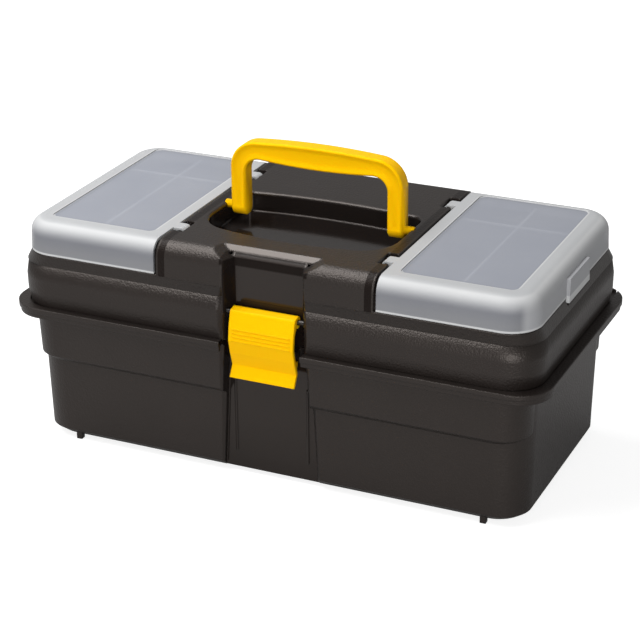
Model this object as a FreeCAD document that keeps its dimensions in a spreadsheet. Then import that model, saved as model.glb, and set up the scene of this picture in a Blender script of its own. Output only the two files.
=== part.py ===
# Tackle box with two organiser bins in its lid.
#
# Millimetres, +Z up, X along the length, -Y towards the front latch.
# The origin lies on the floor under the middle of the box, at the tips of the feet.
import FreeCAD, Part
import math
import os
import Sketcher

Vector = FreeCAD.Vector

doc = FreeCAD.newDocument("tackle_box")
sheet = doc.addObject("Spreadsheet::Sheet", "Sizes")


# A number together with the spreadsheet formula that gives it, so that every sketch starts
# near its solution and stays bound to the driving sizes.
class Size:
    def __init__(self, formula, number):
        self.formula = formula
        self.number = number

    def __add__(self, other):
        other = as_size(other)
        return Size(f"({self.formula} + {other.formula})", self.number + other.number)

    def __sub__(self, other):
        other = as_size(other)
        return Size(f"({self.formula} - {other.formula})", self.number - other.number)

    def __mul__(self, other):
        other = as_size(other)
        return Size(f"({self.formula} * {other.formula})", self.number * other.number)

    def __truediv__(self, other):
        other = as_size(other)
        return Size(f"({self.formula} / {other.formula})", self.number / other.number)

    def __neg__(self):
        return Size(f"(-1 * {self.formula})", -self.number)

    __radd__ = __add__
    __rmul__ = __mul__

    def __rsub__(self, other):
        return as_size(other) - self


def as_size(value):
    return value if isinstance(value, Size) else Size(repr(float(value)), float(value))


def square_root(value):
    return Size(f"sqrt({value.formula})", math.sqrt(value.number))


# One row of the sheet: name, number and meaning. The number's cell gets the name as alias.
rows = []


def size(alias, number, meaning):
    rows.append(alias)
    row = len(rows)
    sheet.set(f"A{row}", alias)
    sheet.set(f"B{row}", str(number))
    sheet.set(f"C{row}", meaning)
    sheet.setAlias(f"B{row}", alias)
    return Size(f"Sizes.{alias}", float(number))


# Driving sizes that all pieces share
weld = size("weld", 0.5, "forms of one moulding run into each other by this")
beyond = size("beyond", 1, "cuts run past the surface that they open by this")

# Driving sizes: base tub
foot_height = size("foot_height", 3.5, "feet below the tub's bottom")
foot_x = size("foot_x", 127, "feet from the middle, along X")
foot_y = size("foot_y", 65.5, "feet from the middle, along Y")
foot_half = size("foot_half", 1.7, "half the width of a square foot")
rim_height = size("rim_height", 87, "top of the base's rim above the floor")
rim_length = size("rim_length", 325, "rim of the base, end to end")
rim_width = size("rim_width", 163, "rim of the base, front to back")
rim_corner = size("rim_corner", 20.8, "plan radius of the rim's corners")
rim_plate = size("rim_plate", 3, "thickness of the rim")
rim_skirt = size("rim_skirt", 3, "turned-down lip under the rim")
rim_step = size("rim_step", 0.9, "lip set back from the rim's edge")
rim_lip = size("rim_lip", 1.6, "thickness of the turned-down lip")
tub_wall = size("tub_wall", 2.4, "wall of the base tub")
tub_floor = size("tub_floor", 2.6, "floor of the base tub")
tub_length = size("tub_length", 303.4, "tub length under the rim")
tub_width = size("tub_width", 143.4, "tub width under the rim, without the band")
tub_lean = size("tub_lean", 2, "tub's walls come in by this from the rim to the bottom")
tub_corner = size("tub_corner", 19, "plan radius of the tub's corners")
tub_edge = size("tub_edge", 3.4, "slant of the bottom edge, measured along each face")
band_foot = size("band_foot", 52.5, "underside of the band on the front and back")
band_width = size("band_width", 152, "width over the bands under the rim")
band_lean = size("band_lean", 1, "bands come in by this from the rim to their underside")
band_corner = size("band_corner", 16, "plan radius of the bands' ends")
band_edge = size("band_edge", 3, "slant under the band, measured along each face")
band_fade = size("band_fade", 0.3, "band stops short of the tub's end walls")
collar_height = size("collar_height", 6, "collar under the rim that carries the tongue")
tongue_gap = size("tongue_gap", 0.75, "tongue inside the lid's wall by this")
tongue_wall = size("tongue_wall", 1.8, "thickness of the tongue")
tongue_height = size("tongue_height", 2.5, "tongue above the rim")
groove_depth = size("groove_depth", 1.5, "groove round the tongue that takes the lid's edge")
groove_side = size("groove_side", 0.4, "groove outside the lid's edge by this")
tongue_end = size("tongue_end", 2, "tongue ends beside the channel's walls by this")
tongue_back = size("tongue_back", 4, "tongue's side runs end before the lid's rear corners by this")

# Driving sizes: front channel and catch
channel_y = size("channel_y", 66, "floor of the front channel from the middle plane")
channel_top = size("channel_top", 24.6, "half width of the channel's mouth at the rim")
channel_foot = size("channel_foot", 29.4, "half width of the channel's mouth at the bottom")
channel_soft = size("channel_soft", 2.4, "slant of the channel's upright edges, along each face")
channel_rib = size("channel_rib", 1.2, "width of the two upright ribs in the channel")
channel_rib_height = size("channel_rib_height", 0.8, "ribs out of the channel's floor")
channel_rib_x = size("channel_rib_x", 22.2, "ribs from the middle")
channel_rib_foot = size("channel_rib_foot", 14, "foot of the ribs above the floor")
channel_rib_top = size("channel_rib_top", 60, "top of the ribs above the floor")
catch_half = size("catch_half", 18, "half length of the catch bar")
catch_reach = size("catch_reach", 6, "catch bar out of the channel's floor")
catch_low = size("catch_low", 79, "underside of the catch bar")
catch_thick = size("catch_thick", 5.2, "height of the catch bar")
catch_bevel = size("catch_bevel", 1.3, "slant of the catch bar's edges")

# Driving sizes: rear hinges
hinge_x = size("hinge_x", 92, "middle of each rear hinge")
hinge_y = size("hinge_y", 79, "rear hinge axis behind the middle plane")
hinge_z = size("hinge_z", 90, "rear hinge axis above the floor")
hinge_round = size("hinge_round", 2.45, "radius of the rear hinge knuckles")
hinge_pin = size("hinge_pin", 1.25, "radius of the rear hinge pins")
hinge_knuckle = size("hinge_knuckle", 11, "length of the lid's knuckle")
hinge_side = size("hinge_side", 8, "length of each of the base's knuckles")
hinge_gap = size("hinge_gap", 0.35, "gap between knuckles")
knuckle_heel = size("knuckle_heel", 3, "lid's knuckles rise towards the wall by this")
pin_fit = size("pin_fit", 0.05, "radial clearance of a turning pin")
pin_end_gap = size("pin_end_gap", 0.3, "pins end inside their bores by this")

# Driving sizes: lid
lid_gap = size("lid_gap", 0.3, "closed lid's edge above the groove")
lid_wall = size("lid_wall", 2.2, "wall of the lid")
lid_foot_length = size("lid_foot_length", 312.2, "lid length at its lower edge")
lid_foot_width = size("lid_foot_width", 152.5, "lid width at its lower edge")
lid_bulge = size("lid_bulge", 1.5, "swell of the lid's skirt at its middle")
lid_swell_height = size("lid_swell_height", 100, "height of the fullest part of the skirt")
shoulder_foot = size("shoulder_foot", 112.5, "lower edge of the lid's shoulder")
shoulder_height = size("shoulder_height", 5.1, "height of the shoulder's slope")
shelf_height = size("shelf_height", 1, "upright edge above the shoulder")
lid_corner = size("lid_corner", 18.5, "plan radius of the lid's corners")
lid_top = size("lid_top", 137.8, "top of the closed lid above the floor")
lid_top_length = size("lid_top_length", 307.6, "length over the covers at their lower edge")
lid_top_width = size("lid_top_width", 151.2, "width over the covers at their lower edge")
lid_top_draft = size("lid_top_draft", 0.8, "covers and deck lean in by this towards the top")
deck_half = size("deck_half", 65.3, "half length of the black deck between the covers")
deck_thick = size("deck_thick", 3.2, "thickness of the deck")
deck_hollow_less = size("deck_hollow_less", 2.5, "deck's hollow is cut off by this less than its edges")
deck_front_round = size("deck_front_round", 9.5, "rounding of the deck's front edge")
deck_back_round = size("deck_back_round", 7, "rounding of the deck's back edge")

# Driving sizes: handle and its well
handle_half = size("handle_half", 53.2, "half width over the handle's legs")
handle_leg = size("handle_leg", 9.3, "width of a leg")
handle_depth = size("handle_depth", 9.8, "handle, front to back")
handle_rise = size("handle_rise", 42.4, "top of the handle above its pivot")
handle_grip = size("handle_grip", 13.4, "height of the grip at its middle")
handle_bow = size("handle_bow", 2.6, "grip's underside sags by this between the legs")
handle_crown = size("handle_crown", 3, "grip's top is higher by this at the middle")
handle_corner = size("handle_corner", 16.5, "outer corner radius of the handle")
handle_crook = size("handle_crook", 8.5, "inner corner radius of the handle")
handle_soft = size("handle_soft", 0.9, "slant of the handle's long edges, along each face")
pivot_y = size("pivot_y", 0.6, "handle pivot in front of the middle plane")
pivot_drop = size("pivot_drop", 1.3, "handle pivot below the deck's top")
peg_round = size("peg_round", 2.5, "radius of the handle's pegs")
peg_length = size("peg_length", 5.4, "pegs beyond the legs")
peg_end_gap = size("peg_end_gap", 0.4, "seats are longer than the pegs by this")
handle_toe = size("handle_toe", 4.7, "rounding of the legs' ends")
well_half = size("well_half", 57, "half length of the handle's well")
well_front = size("well_front", 45.6, "well's front edge at the middle")
well_front_bow = size("well_front_bow", 196, "plan radius of the well's bowed front edge")
well_front_corner = size("well_front_corner", 21, "plan radius of the well's front corners")
well_back = size("well_back", 22.5, "well's back edge at the middle")
well_back_bow = size("well_back_bow", 345, "plan radius of the well's bowed back edge")
well_back_corner = size("well_back_corner", 8, "plan radius of the well's back corners")
well_depth = size("well_depth", 11.8, "well's floor below the deck")
well_thick = size("well_thick", 2.4, "thickness of the well's floor")
deck_lip = size("deck_lip", 0.8, "deck's ends stand out from its hollow by this")
well_edge = size("well_edge", 1, "slant of the well's rim, along each face")

# Driving sizes: latch and its recess
recess_y = size("recess_y", 66.4, "floor of the lid's front recess from the middle plane")
recess_floor_half = size("recess_floor_half", 20.7, "half width of the recess's floor")
recess_mouth_half = size("recess_mouth_half", 24.7, "half width of the recess's mouth")
recess_turn = size("recess_turn", 74.2, "the recess's sides slant outwards in front of this")
recess_mouth_y = size("recess_mouth_y", 76, "where the recess's mouth width is taken")
recess_top = size("recess_top", 132.8, "upright floor of the recess ends here, and its bevel starts")
recess_flare_y = size("recess_flare_y", 60.9, "bevel's upper edge from the middle plane")
recess_flare_half = size("recess_flare_half", 30, "half width of the bevel's upper edge")
house_wall = size("house_wall", 2.6, "walls of the housing behind the recess")
latch_half = size("latch_half", 19.6, "half width of the latch")
latch_thick = size("latch_thick", 2.2, "thickness of the latch")
latch_pin_y = size("latch_pin_y", 71.6, "latch axis in front of the middle plane")
latch_pin_z = size("latch_pin_z", 102.8, "latch axis above the floor")
latch_pin = size("latch_pin", 1.5, "radius of the latch's pin")
latch_barrel = size("latch_barrel", 3.4, "radius of the latch's barrel")
latch_pin_half = size("latch_pin_half", 25.2, "half length of the latch's pin")
latch_crown = size("latch_crown", 1, "flat top of the latch behind its axis")
latch_brow_out = size("latch_brow_out", 4.2, "latch's brow in front of its axis")
latch_brow_up = size("latch_brow_up", 2.6, "latch's brow above its axis")
latch_brow_round = size("latch_brow_round", 1.6, "rounding of the brow")
latch_face_rise = size("latch_face_rise", 8, "height of the latch's straight face above its fullest point")
latch_face_lean = size("latch_face_lean", 0.9, "latch's straight face leans in by this over its height")
latch_belly_out = size("latch_belly_out", 2.6, "latch's belly in front of its crease")
latch_belly_drop = size("latch_belly_drop", 7.5, "latch's belly ends below its fullest point by this")
latch_knee_y = size("latch_knee_y", 79.2, "latch's fullest point from the middle plane")
latch_knee_z = size("latch_knee_z", 88, "latch's fullest point above the floor")
latch_waist_y = size("latch_waist_y", 75, "crease of the latch from the middle plane")
latch_waist_z = size("latch_waist_z", 72.4, "crease of the latch above the floor")
latch_lip_y = size("latch_lip_y", 78.7, "latch's finger lip from the middle plane")
latch_lip_z = size("latch_lip_z", 65.8, "latch's finger lip above the floor")
latch_lip_edge = size("latch_lip_edge", 1.6, "thickness of the finger lip's edge")
latch_rib = size("latch_rib", 0.4, "height of the grip ribs on the latch")
latch_rib_start = size("latch_rib_start", 0.6, "lowest grip rib above the latch's fullest point")
latch_rib_pitch = size("latch_rib_pitch", 2.2, "from one grip rib to the next")
latch_rib_foot = size("latch_rib_foot", 0.7, "half height of a grip rib at its foot")
latch_rib_top = size("latch_rib_top", 0.25, "half height of a grip rib at its top")
latch_rib_side = size("latch_rib_side", 2, "grip ribs end inside the latch's ends by this")
hook_gap = size("hook_gap", 0.3, "hook below the catch bar")
hook_reach = size("hook_reach", 2.6, "hook behind the latch's inner face")
hook_height = size("hook_height", 4.4, "height of the hook")
hook_tip = size("hook_tip", 2, "height of the hook's tip")
hook_slant = size("hook_slant", 1.6, "hook's underside slants by this towards its tip")
hook_side = size("hook_side", 1.2, "hook ends inside the latch's ends by this")

# Driving sizes: organiser bins
bin_floor = size("bin_floor", 104, "floor of the bins above the floor the box stands on")
bin_floor_thick = size("bin_floor_thick", 2.4, "thickness of the bins' floor")
bin_side_drop = size("bin_side_drop", 2.5, "bins' inner side walls below the covers' tops")
bin_near_corner = size("bin_near_corner", 4, "plan radius of the bins' inner corners")
bin_side = size("bin_side", 2.2, "bins' inner side wall beyond the deck's end")
cover_wall = size("cover_wall", 1.8, "thickness of the covers")
cover_gap = size("cover_gap", 0.5, "bin walls inside the covers' skirts")
cover_seam = size("cover_seam", 1.6, "open seam between deck and cover")
cover_lift = size("cover_lift", 0.3, "covers' lower edge above the shoulder")
cover_round = size("cover_round", 8.6, "rounding of the covers' top edges")
cover_bevel = size("cover_bevel", 4.1, "slant inside the covers' top edges, along each face")
window_near = size("window_near", 7.4, "window from the cover's hinge edge")
window_far = size("window_far", 13.6, "window from the cover's outer end")
window_front = size("window_front", 14.2, "window from the cover's front")
window_back = size("window_back", 9.4, "window from the cover's back")
window_depth = size("window_depth", 0.5, "window set below its frame")
window_corner = size("window_corner", 4, "plan radius of the window's corners")
tab_half = size("tab_half", 18, "half width of the cover's latch tab")
tab_out = size("tab_out", 1.8, "tab outside the cover's end")
tab_drop = size("tab_drop", 2.8, "tab below the cover's lower edge")
tab_rise = size("tab_rise", 11, "tab above the cover's lower edge")
tab_draft = size("tab_draft", 1, "tab narrower at its top by this on each side")
tab_cheek = size("tab_cheek", 1.6, "thickness of the tab's ends")
tab_relief = size("tab_relief", 4, "hollow behind the tab rises by this towards the inside")
tab_side = size("tab_side", 1.2, "notch under a tab is wider than the tab by this on each side")
tab_clear = size("tab_clear", 1.1, "notch clears the tab's foot by this")
bead_out = size("bead_out", 1.1, "bead inside the tab, out of its wall")
bead_foot = size("bead_foot", 0.6, "bead above the tab's foot")
bead_height = size("bead_height", 2.4, "height of the bead")
ridge_out = size("ridge_out", 1.1, "ridges under the covers' tabs, out of the bins' walls")
ridge_foot = size("ridge_foot", 0.8, "ridges above the covers' lower edge")
ridge_height = size("ridge_height", 3.2, "height of the ridges")
ridge_half = size("ridge_half", 14, "half length of the ridges")
clip_pin_x = size("clip_pin_x", 62.5, "cover hinge axis from the middle")
clip_pin_drop = size("clip_pin_drop", 2.7, "cover hinge axis below the lid's top")
clip_pin = size("clip_pin", 1.4, "radius of the cover hinge bars")
clip_round = size("clip_round", 2.7, "outer radius of the clips")
clip_width = size("clip_width", 8, "width of a clip")
clip_mouth = size("clip_mouth", 2.4, "mouth of a clip")
clip_y = size("clip_y", 46.7, "clips in front of and behind the middle plane")
slot_length = size("slot_length", 16, "slot in the deck round a clip, along Y")
slot_wall = size("slot_wall", 1.8, "wall round a slot")
slot_clear = size("slot_clear", 0.9, "slot clears the turning clip by this")
divider_thick = size("divider_thick", 1.4, "thickness of a divider")
divider_x = size("divider_x", 108.5, "long dividers from the middle")
divider_y = size("divider_y", 33, "cross dividers behind the middle plane")
divider_gap = size("divider_gap", 0.3, "dividers clear the walls and the floor by this")
divider_rib = size("divider_rib", 1.6, "ribs that hold the dividers, out of the walls")
rib_thick = size("rib_thick", 1.4, "thickness of those ribs")
rib_drop = size("rib_drop", 4, "those ribs end below the bins' edge by this")

# Driving sizes: tote tray
tray_wall = size("tray_wall", 2, "wall of the tray")
tray_length = size("tray_length", 285, "tray, end to end")
tray_width = size("tray_width", 141, "tray, front to back")
tray_height = size("tray_height", 27, "tray's walls")
tray_corner = size("tray_corner", 13, "plan radius of the tray's corners")
tray_gap = size("tray_gap", 0.1, "tray above its ledges")
tray_draft = size("tray_draft", 0.5, "tray's bottom smaller by this on each side")
tray_notch = size("tray_notch", 4, "tray clears the front channel by this")
tray_handle_half = size("tray_handle_half", 52, "half length of the tray's handle")
tray_handle_rise = size("tray_handle_rise", 22, "tray's handle above its walls")
tray_handle_bar = size("tray_handle_bar", 9, "height of the tray handle's bar")
tray_handle_thick = size("tray_handle_thick", 4, "thickness of the tray's handle")
tray_handle_corner = size("tray_handle_corner", 8, "corner radius of the tray's handle")
tray_handle_root = size("tray_handle_root", 6, "tray's handle widens from below the tray's edge by this")
tray_hole_side = size("tray_hole_side", 12, "handle's hole from the handle's ends")
tray_hole_drop = size("tray_hole_drop", 8, "handle's hole below the tray's edge")
tray_hole_corner = size("tray_hole_corner", 6, "corner radius of the handle's hole")
tray_cell_x = size("tray_cell_x", 60, "tray's cross walls from the middle")
tray_cross_drop = size("tray_cross_drop", 3.5, "tray's cross walls below its edge")

doc.recompute()


# Helpers: bodies, sketches and features

def bind(target, name, rule):
    rule = as_size(rule)
    target.setExpression(name, rule.formula)


def new_body(label):
    body = doc.addObject("PartDesign::Body", label)
    body.Label = label
    return body


def new_sketch(body, name, role, offset=0):
    plane = [feature for feature in body.Origin.OriginFeatures if feature.Role == role][0]
    sketch = body.newObject("Sketcher::SketchObject", name)
    sketch.AttachmentSupport = (plane, [""])
    sketch.MapMode = "FlatFace"
    sketch.AttachmentOffset = FreeCAD.Placement(Vector(0, 0, as_size(offset).number), FreeCAD.Rotation())
    bind(sketch, "AttachmentOffset.Base.z", offset)
    return sketch


def dimension(sketch, kind, first, second, rule):
    """A driving distance between two points, each a pair of geometry and point number."""
    rule = as_size(rule)
    index = sketch.addConstraint(Sketcher.Constraint(kind, *first, *second, rule.number))
    sketch.setExpression(f"Constraints[{index}]", rule.formula)


def fix_point(sketch, point, x, y):
    dimension(sketch, "DistanceX", (-1, 1), point, x)
    dimension(sketch, "DistanceY", (-1, 1), point, y)


def add_outline(sketch, corners):
    """A closed outline. Each corner is (x, y), or (x, y, via_x, via_y) where the side that leaves
    it is an arc through the point (via_x, via_y)."""
    points = [tuple(as_size(value) for value in corner) for corner in corners]
    first = sketch.GeometryCount
    count = len(points)
    flipped = []
    for index, corner in enumerate(points):
        after = points[(index + 1) % count]
        start = Vector(corner[0].number, corner[1].number, 0)
        end = Vector(after[0].number, after[1].number, 0)
        if len(corner) == 2:
            sketch.addGeometry(Part.LineSegment(start, end), False)
            flipped.append(False)
        else:
            via = Vector(corner[2].number, corner[3].number, 0)
            sketch.addGeometry(Part.Arc(start, via, end), False)
            turn = (via - start).cross(end - via).z
            flipped.append(turn < 0)
    head = [2 if flip else 1 for flip in flipped]
    tail = [1 if flip else 2 for flip in flipped]
    for index in range(count):
        after = (index + 1) % count
        sketch.addConstraint(
            Sketcher.Constraint("Coincident", first + index, tail[index], first + after, head[after]))
    for index, corner in enumerate(points):
        fix_point(sketch, (first + index, head[index]), corner[0], corner[1])
    for index, corner in enumerate(points):
        if len(corner) == 4:
            via = Vector(corner[2].number, corner[3].number, 0)
            marker = sketch.addGeometry(Part.Point(via), True)
            sketch.addConstraint(Sketcher.Constraint("PointOnObject", marker, 1, first + index))
            fix_point(sketch, (marker, 1), corner[2], corner[3])
    return sketch


def add_rounded(sketch, x_low, x_high, y_low, y_high, radius):
    """A rectangle with four equal round corners."""
    x_low, x_high, y_low, y_high, radius = [as_size(v) for v in (x_low, x_high, y_low, y_high, radius)]
    first = sketch.GeometryCount
    x0, x1, y0, y1, r = [v.number for v in (x_low, x_high, y_low, y_high, radius)]
    starts = [(x0 + r, y0), (x1, y0 + r), (x1 - r, y1), (x0, y1 - r)]
    ends = [(x1 - r, y0), (x1, y1 - r), (x0 + r, y1), (x0, y0 + r)]
    centres = [(x1 - r, y0 + r), (x1 - r, y1 - r), (x0 + r, y1 - r), (x0 + r, y0 + r)]
    for side in range(4):
        start = Vector(*starts[side], 0)
        end = Vector(*ends[side], 0)
        sketch.addGeometry(Part.LineSegment(start, end), False)
        circle = Part.Circle(Vector(*centres[side], 0), Vector(0, 0, 1), r)
        angle = (side - 1) * math.pi / 2
        sketch.addGeometry(Part.ArcOfCircle(circle, angle, angle + math.pi / 2), False)
    for side in range(4):
        line = first + 2 * side
        following = first + (2 * side + 2) % 8
        sketch.addConstraint(Sketcher.Constraint("Tangent", line, 2, line + 1, 1))
        sketch.addConstraint(Sketcher.Constraint("Tangent", line + 1, 2, following, 1))
        sketch.addConstraint(Sketcher.Constraint("Vertical" if side % 2 else "Horizontal", line))
        if side:
            sketch.addConstraint(Sketcher.Constraint("Equal", first + 1, line + 1))
    index = sketch.addConstraint(Sketcher.Constraint("Radius", first + 1, r))
    sketch.setExpression(f"Constraints[{index}]", radius.formula)
    dimension(sketch, "DistanceY", (-1, 1), (first, 1), y_low)
    dimension(sketch, "DistanceX", (-1, 1), (first + 2, 1), x_high)
    dimension(sketch, "DistanceY", (-1, 1), (first + 4, 1), y_high)
    dimension(sketch, "DistanceX", (-1, 1), (first + 6, 1), x_low)
    return sketch


def add_circle(sketch, x, y, radius):
    x, y, radius = as_size(x), as_size(y), as_size(radius)
    centre = Vector(x.number, y.number, 0)
    first = sketch.addGeometry(Part.Circle(centre, Vector(0, 0, 1), radius.number), False)
    fix_point(sketch, (first, 3), x, y)
    index = sketch.addConstraint(Sketcher.Constraint("Radius", first, radius.number))
    sketch.setExpression(f"Constraints[{index}]", radius.formula)
    return sketch


def oblong(body, name, height, half_x, half_y, radius):
    """A rounded rectangle about the vertical axis, in a plane at the given height."""
    half_x, half_y = as_size(half_x), as_size(half_y)
    return add_rounded(new_sketch(body, name, "XY_Plane", height), -half_x, half_x, -half_y, half_y, radius)


def rectangle(sketch, x_low, x_high, y_low, y_high):
    return add_outline(sketch, [(x_low, y_low), (x_high, y_low), (x_high, y_high), (x_low, y_high)])


# How far a quarter arc's middle lies inside its square corner, as a share of its radius
swing = 1 - math.sqrt(0.5)


def in_order(first, second):
    return (first, second) if first.number < second.number else (second, first)


def round_corners(sketch, near_x, far_x, reach, near_round, far_round):
    """A rectangle from near_x to far_x whose near and far corners have radii of their own."""
    out = 1 if far_x.number > near_x.number else -1
    near_in = near_x + out * near_round
    near_mid = near_x + out * swing * near_round
    far_in = far_x - out * far_round
    far_mid = far_x - out * swing * far_round
    return add_outline(sketch, [
        (near_in, -reach), (far_in, -reach, far_mid, -reach + swing * far_round),
        (far_x, -reach + far_round), (far_x, reach - far_round, far_mid, reach - swing * far_round),
        (far_in, reach), (near_in, reach, near_mid, reach - swing * near_round),
        (near_x, reach - near_round), (near_x, -reach + near_round, near_mid, -reach + swing * near_round)])


def finish_feature(body, feature):
    doc.recompute()
    bad = [state for state in feature.State if state in ("Invalid", "Error")]
    if bad or feature.Shape.isNull():
        raise RuntimeError(f"{body.Label}: {feature.Label} failed")
    return feature


def loft(body, name, sketches, cut=False, ruled=True):
    kind = "PartDesign::SubtractiveLoft" if cut else "PartDesign::AdditiveLoft"
    feature = body.newObject(kind, name)
    feature.Profile = sketches[0]
    feature.Sections = sketches[1:]
    feature.Ruled = ruled
    return finish_feature(body, feature)


def pad(body, name, sketch, length, symmetric=False, reverse=False):
    feature = body.newObject("PartDesign::Pad", name)
    feature.Profile = sketch
    bind(feature, "Length", length)
    feature.SideType = "Symmetric" if symmetric else "One side"
    feature.Reversed = reverse
    return finish_feature(body, feature)


def pocket(body, name, sketch, length, symmetric=False, reverse=False):
    """A pocket that has to remove something: one that cuts nothing is an error."""
    before = body.Shape.Volume
    feature = body.newObject("PartDesign::Pocket", name)
    feature.Profile = sketch
    bind(feature, "Length", length)
    feature.SideType = "Symmetric" if symmetric else "One side"
    feature.Reversed = reverse
    finish_feature(body, feature)
    if feature.Shape.Volume > before - 0.001:
        raise RuntimeError(f"{body.Label}: {name} cuts nothing")
    return feature


def taper(feature, length, lean):
    """The feature's outline grows by lean on every side over its length, or shrinks if negative."""
    ratio = as_size(lean) / length
    feature.TaperAngle = math.degrees(math.atan(ratio.number))
    feature.setExpression("TaperAngle", f"atan({ratio.formula})")


def drafted_pad(body, name, sketch, length, lean, reverse=False):
    feature = body.newObject("PartDesign::Pad", name)
    feature.Profile = sketch
    bind(feature, "Length", length)
    feature.Reversed = reverse
    taper(feature, length, lean)
    return finish_feature(body, feature)


def drafted_pocket(body, name, sketch, length, lean, reverse=False):
    before = body.Shape.Volume
    feature = body.newObject("PartDesign::Pocket", name)
    feature.Profile = sketch
    bind(feature, "Length", length)
    feature.Reversed = reverse
    taper(feature, length, lean)
    finish_feature(body, feature)
    if feature.Shape.Volume > before - 0.001:
        raise RuntimeError(f"{body.Label}: {name} cuts nothing")
    return feature


def round_edges(body, name, radius, wanted):
    """Rounds the edges of the body so far for which wanted(edge) is true."""
    base = body.Tip
    names = [f"Edge{index + 1}" for index, edge in enumerate(base.Shape.Edges) if wanted(edge)]
    if not names:
        raise RuntimeError(f"{body.Label}: {name} finds no edge")
    feature = body.newObject("PartDesign::Fillet", name)
    feature.Base = (base, names)
    feature.Radius = as_size(radius).number
    bind(feature, "Radius", radius)
    return finish_feature(body, feature)


def bevel_edges(body, name, width, wanted):
    """Cuts off the edges of the body so far for which wanted(edge) is true."""
    base = body.Tip
    names = [f"Edge{index + 1}" for index, edge in enumerate(base.Shape.Edges) if wanted(edge)]
    if not names:
        raise RuntimeError(f"{body.Label}: {name} finds no edge")
    feature = body.newObject("PartDesign::Chamfer", name)
    feature.Base = (base, names)
    feature.Size = as_size(width).number
    bind(feature, "Size", width)
    return finish_feature(body, feature)


def near(value, target, slack=0.02):
    return abs(value - as_size(target).number) < slack


def flat_at(edge, height):
    """True for an edge that lies in the horizontal plane at this height."""
    box = edge.BoundBox
    return near(box.ZMin, height) and near(box.ZMax, height)


def between(low, high, height_low, height_high, height):
    """The size at a height on a straight line between two heights."""
    return low + (high - low) * (as_size(height) - height_low) / (as_size(height_high) - height_low)


# Shared places, all worked out from the driving sizes
rim_under = rim_height - rim_plate
groove_floor = rim_height - groove_depth
lid_foot = groove_floor + lid_gap
lid_inner_half_x = lid_foot_length / 2 - lid_wall
lid_inner_half_y = lid_foot_width / 2 - lid_wall
tongue_half_x = lid_inner_half_x - tongue_gap
tongue_half_y = lid_inner_half_y - tongue_gap
tongue_corner = lid_corner - lid_wall - tongue_gap
mouth_half_x = tub_length / 2 - tub_wall
mouth_half_y = tongue_half_y - tongue_wall
mouth_corner = tongue_corner - tongue_wall
ledge = band_foot + tub_wall
shoulder_top = shoulder_foot + shoulder_height
shelf_top = shoulder_top + shelf_height
cover_foot = shelf_top + cover_lift
bin_top = lid_top - cover_round - cover_gap
bin_side_top = lid_top - bin_side_drop
ceiling = lid_top - deck_thick
well_floor = lid_top - well_depth
pivot_z = lid_top - pivot_drop
clip_z = lid_top - clip_pin_drop
cover_inner = deck_half + cover_seam
bin_inner = deck_half + bin_side
bin_outer_x = lid_top_length / 2 - cover_wall - cover_gap
bin_outer_y = lid_top_width / 2 - cover_wall - cover_gap
bin_far = bin_outer_x - lid_wall
bin_reach = bin_outer_y - lid_wall


def channel_half(height):
    return between(channel_foot, channel_top, foot_height, rim_height, height)


def tub_inset(height):
    """How far the tub's walls have come in at a height."""
    return tub_lean * (rim_under - height) / (rim_under - foot_height)


def band_inset(height):
    return band_lean * (rim_under - height) / (rim_under - band_foot)


def walls(body, name, half_x, half_y, corner, inset, high, low, cut=False):
    """An upright block, or a hollow, whose sides come in by inset(height) on their way down."""
    ends = [oblong(body, f"{name}_{place}_outline", height, half_x - inset(height),
                   half_y - inset(height), corner)
            for place, height in (("low", low), ("high", high))]
    return loft(body, name, ends, cut=cut)


def slant_under(body, name, half_x, half_y, corner, inset, low, edge):
    """The slant along the bottom edge of such a block, edge high and edge wide."""
    def slanted(height):
        return inset(low + edge) + (low + edge - as_size(height))

    walls(body, name, half_x, half_y, corner, slanted, low + edge, low)


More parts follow.
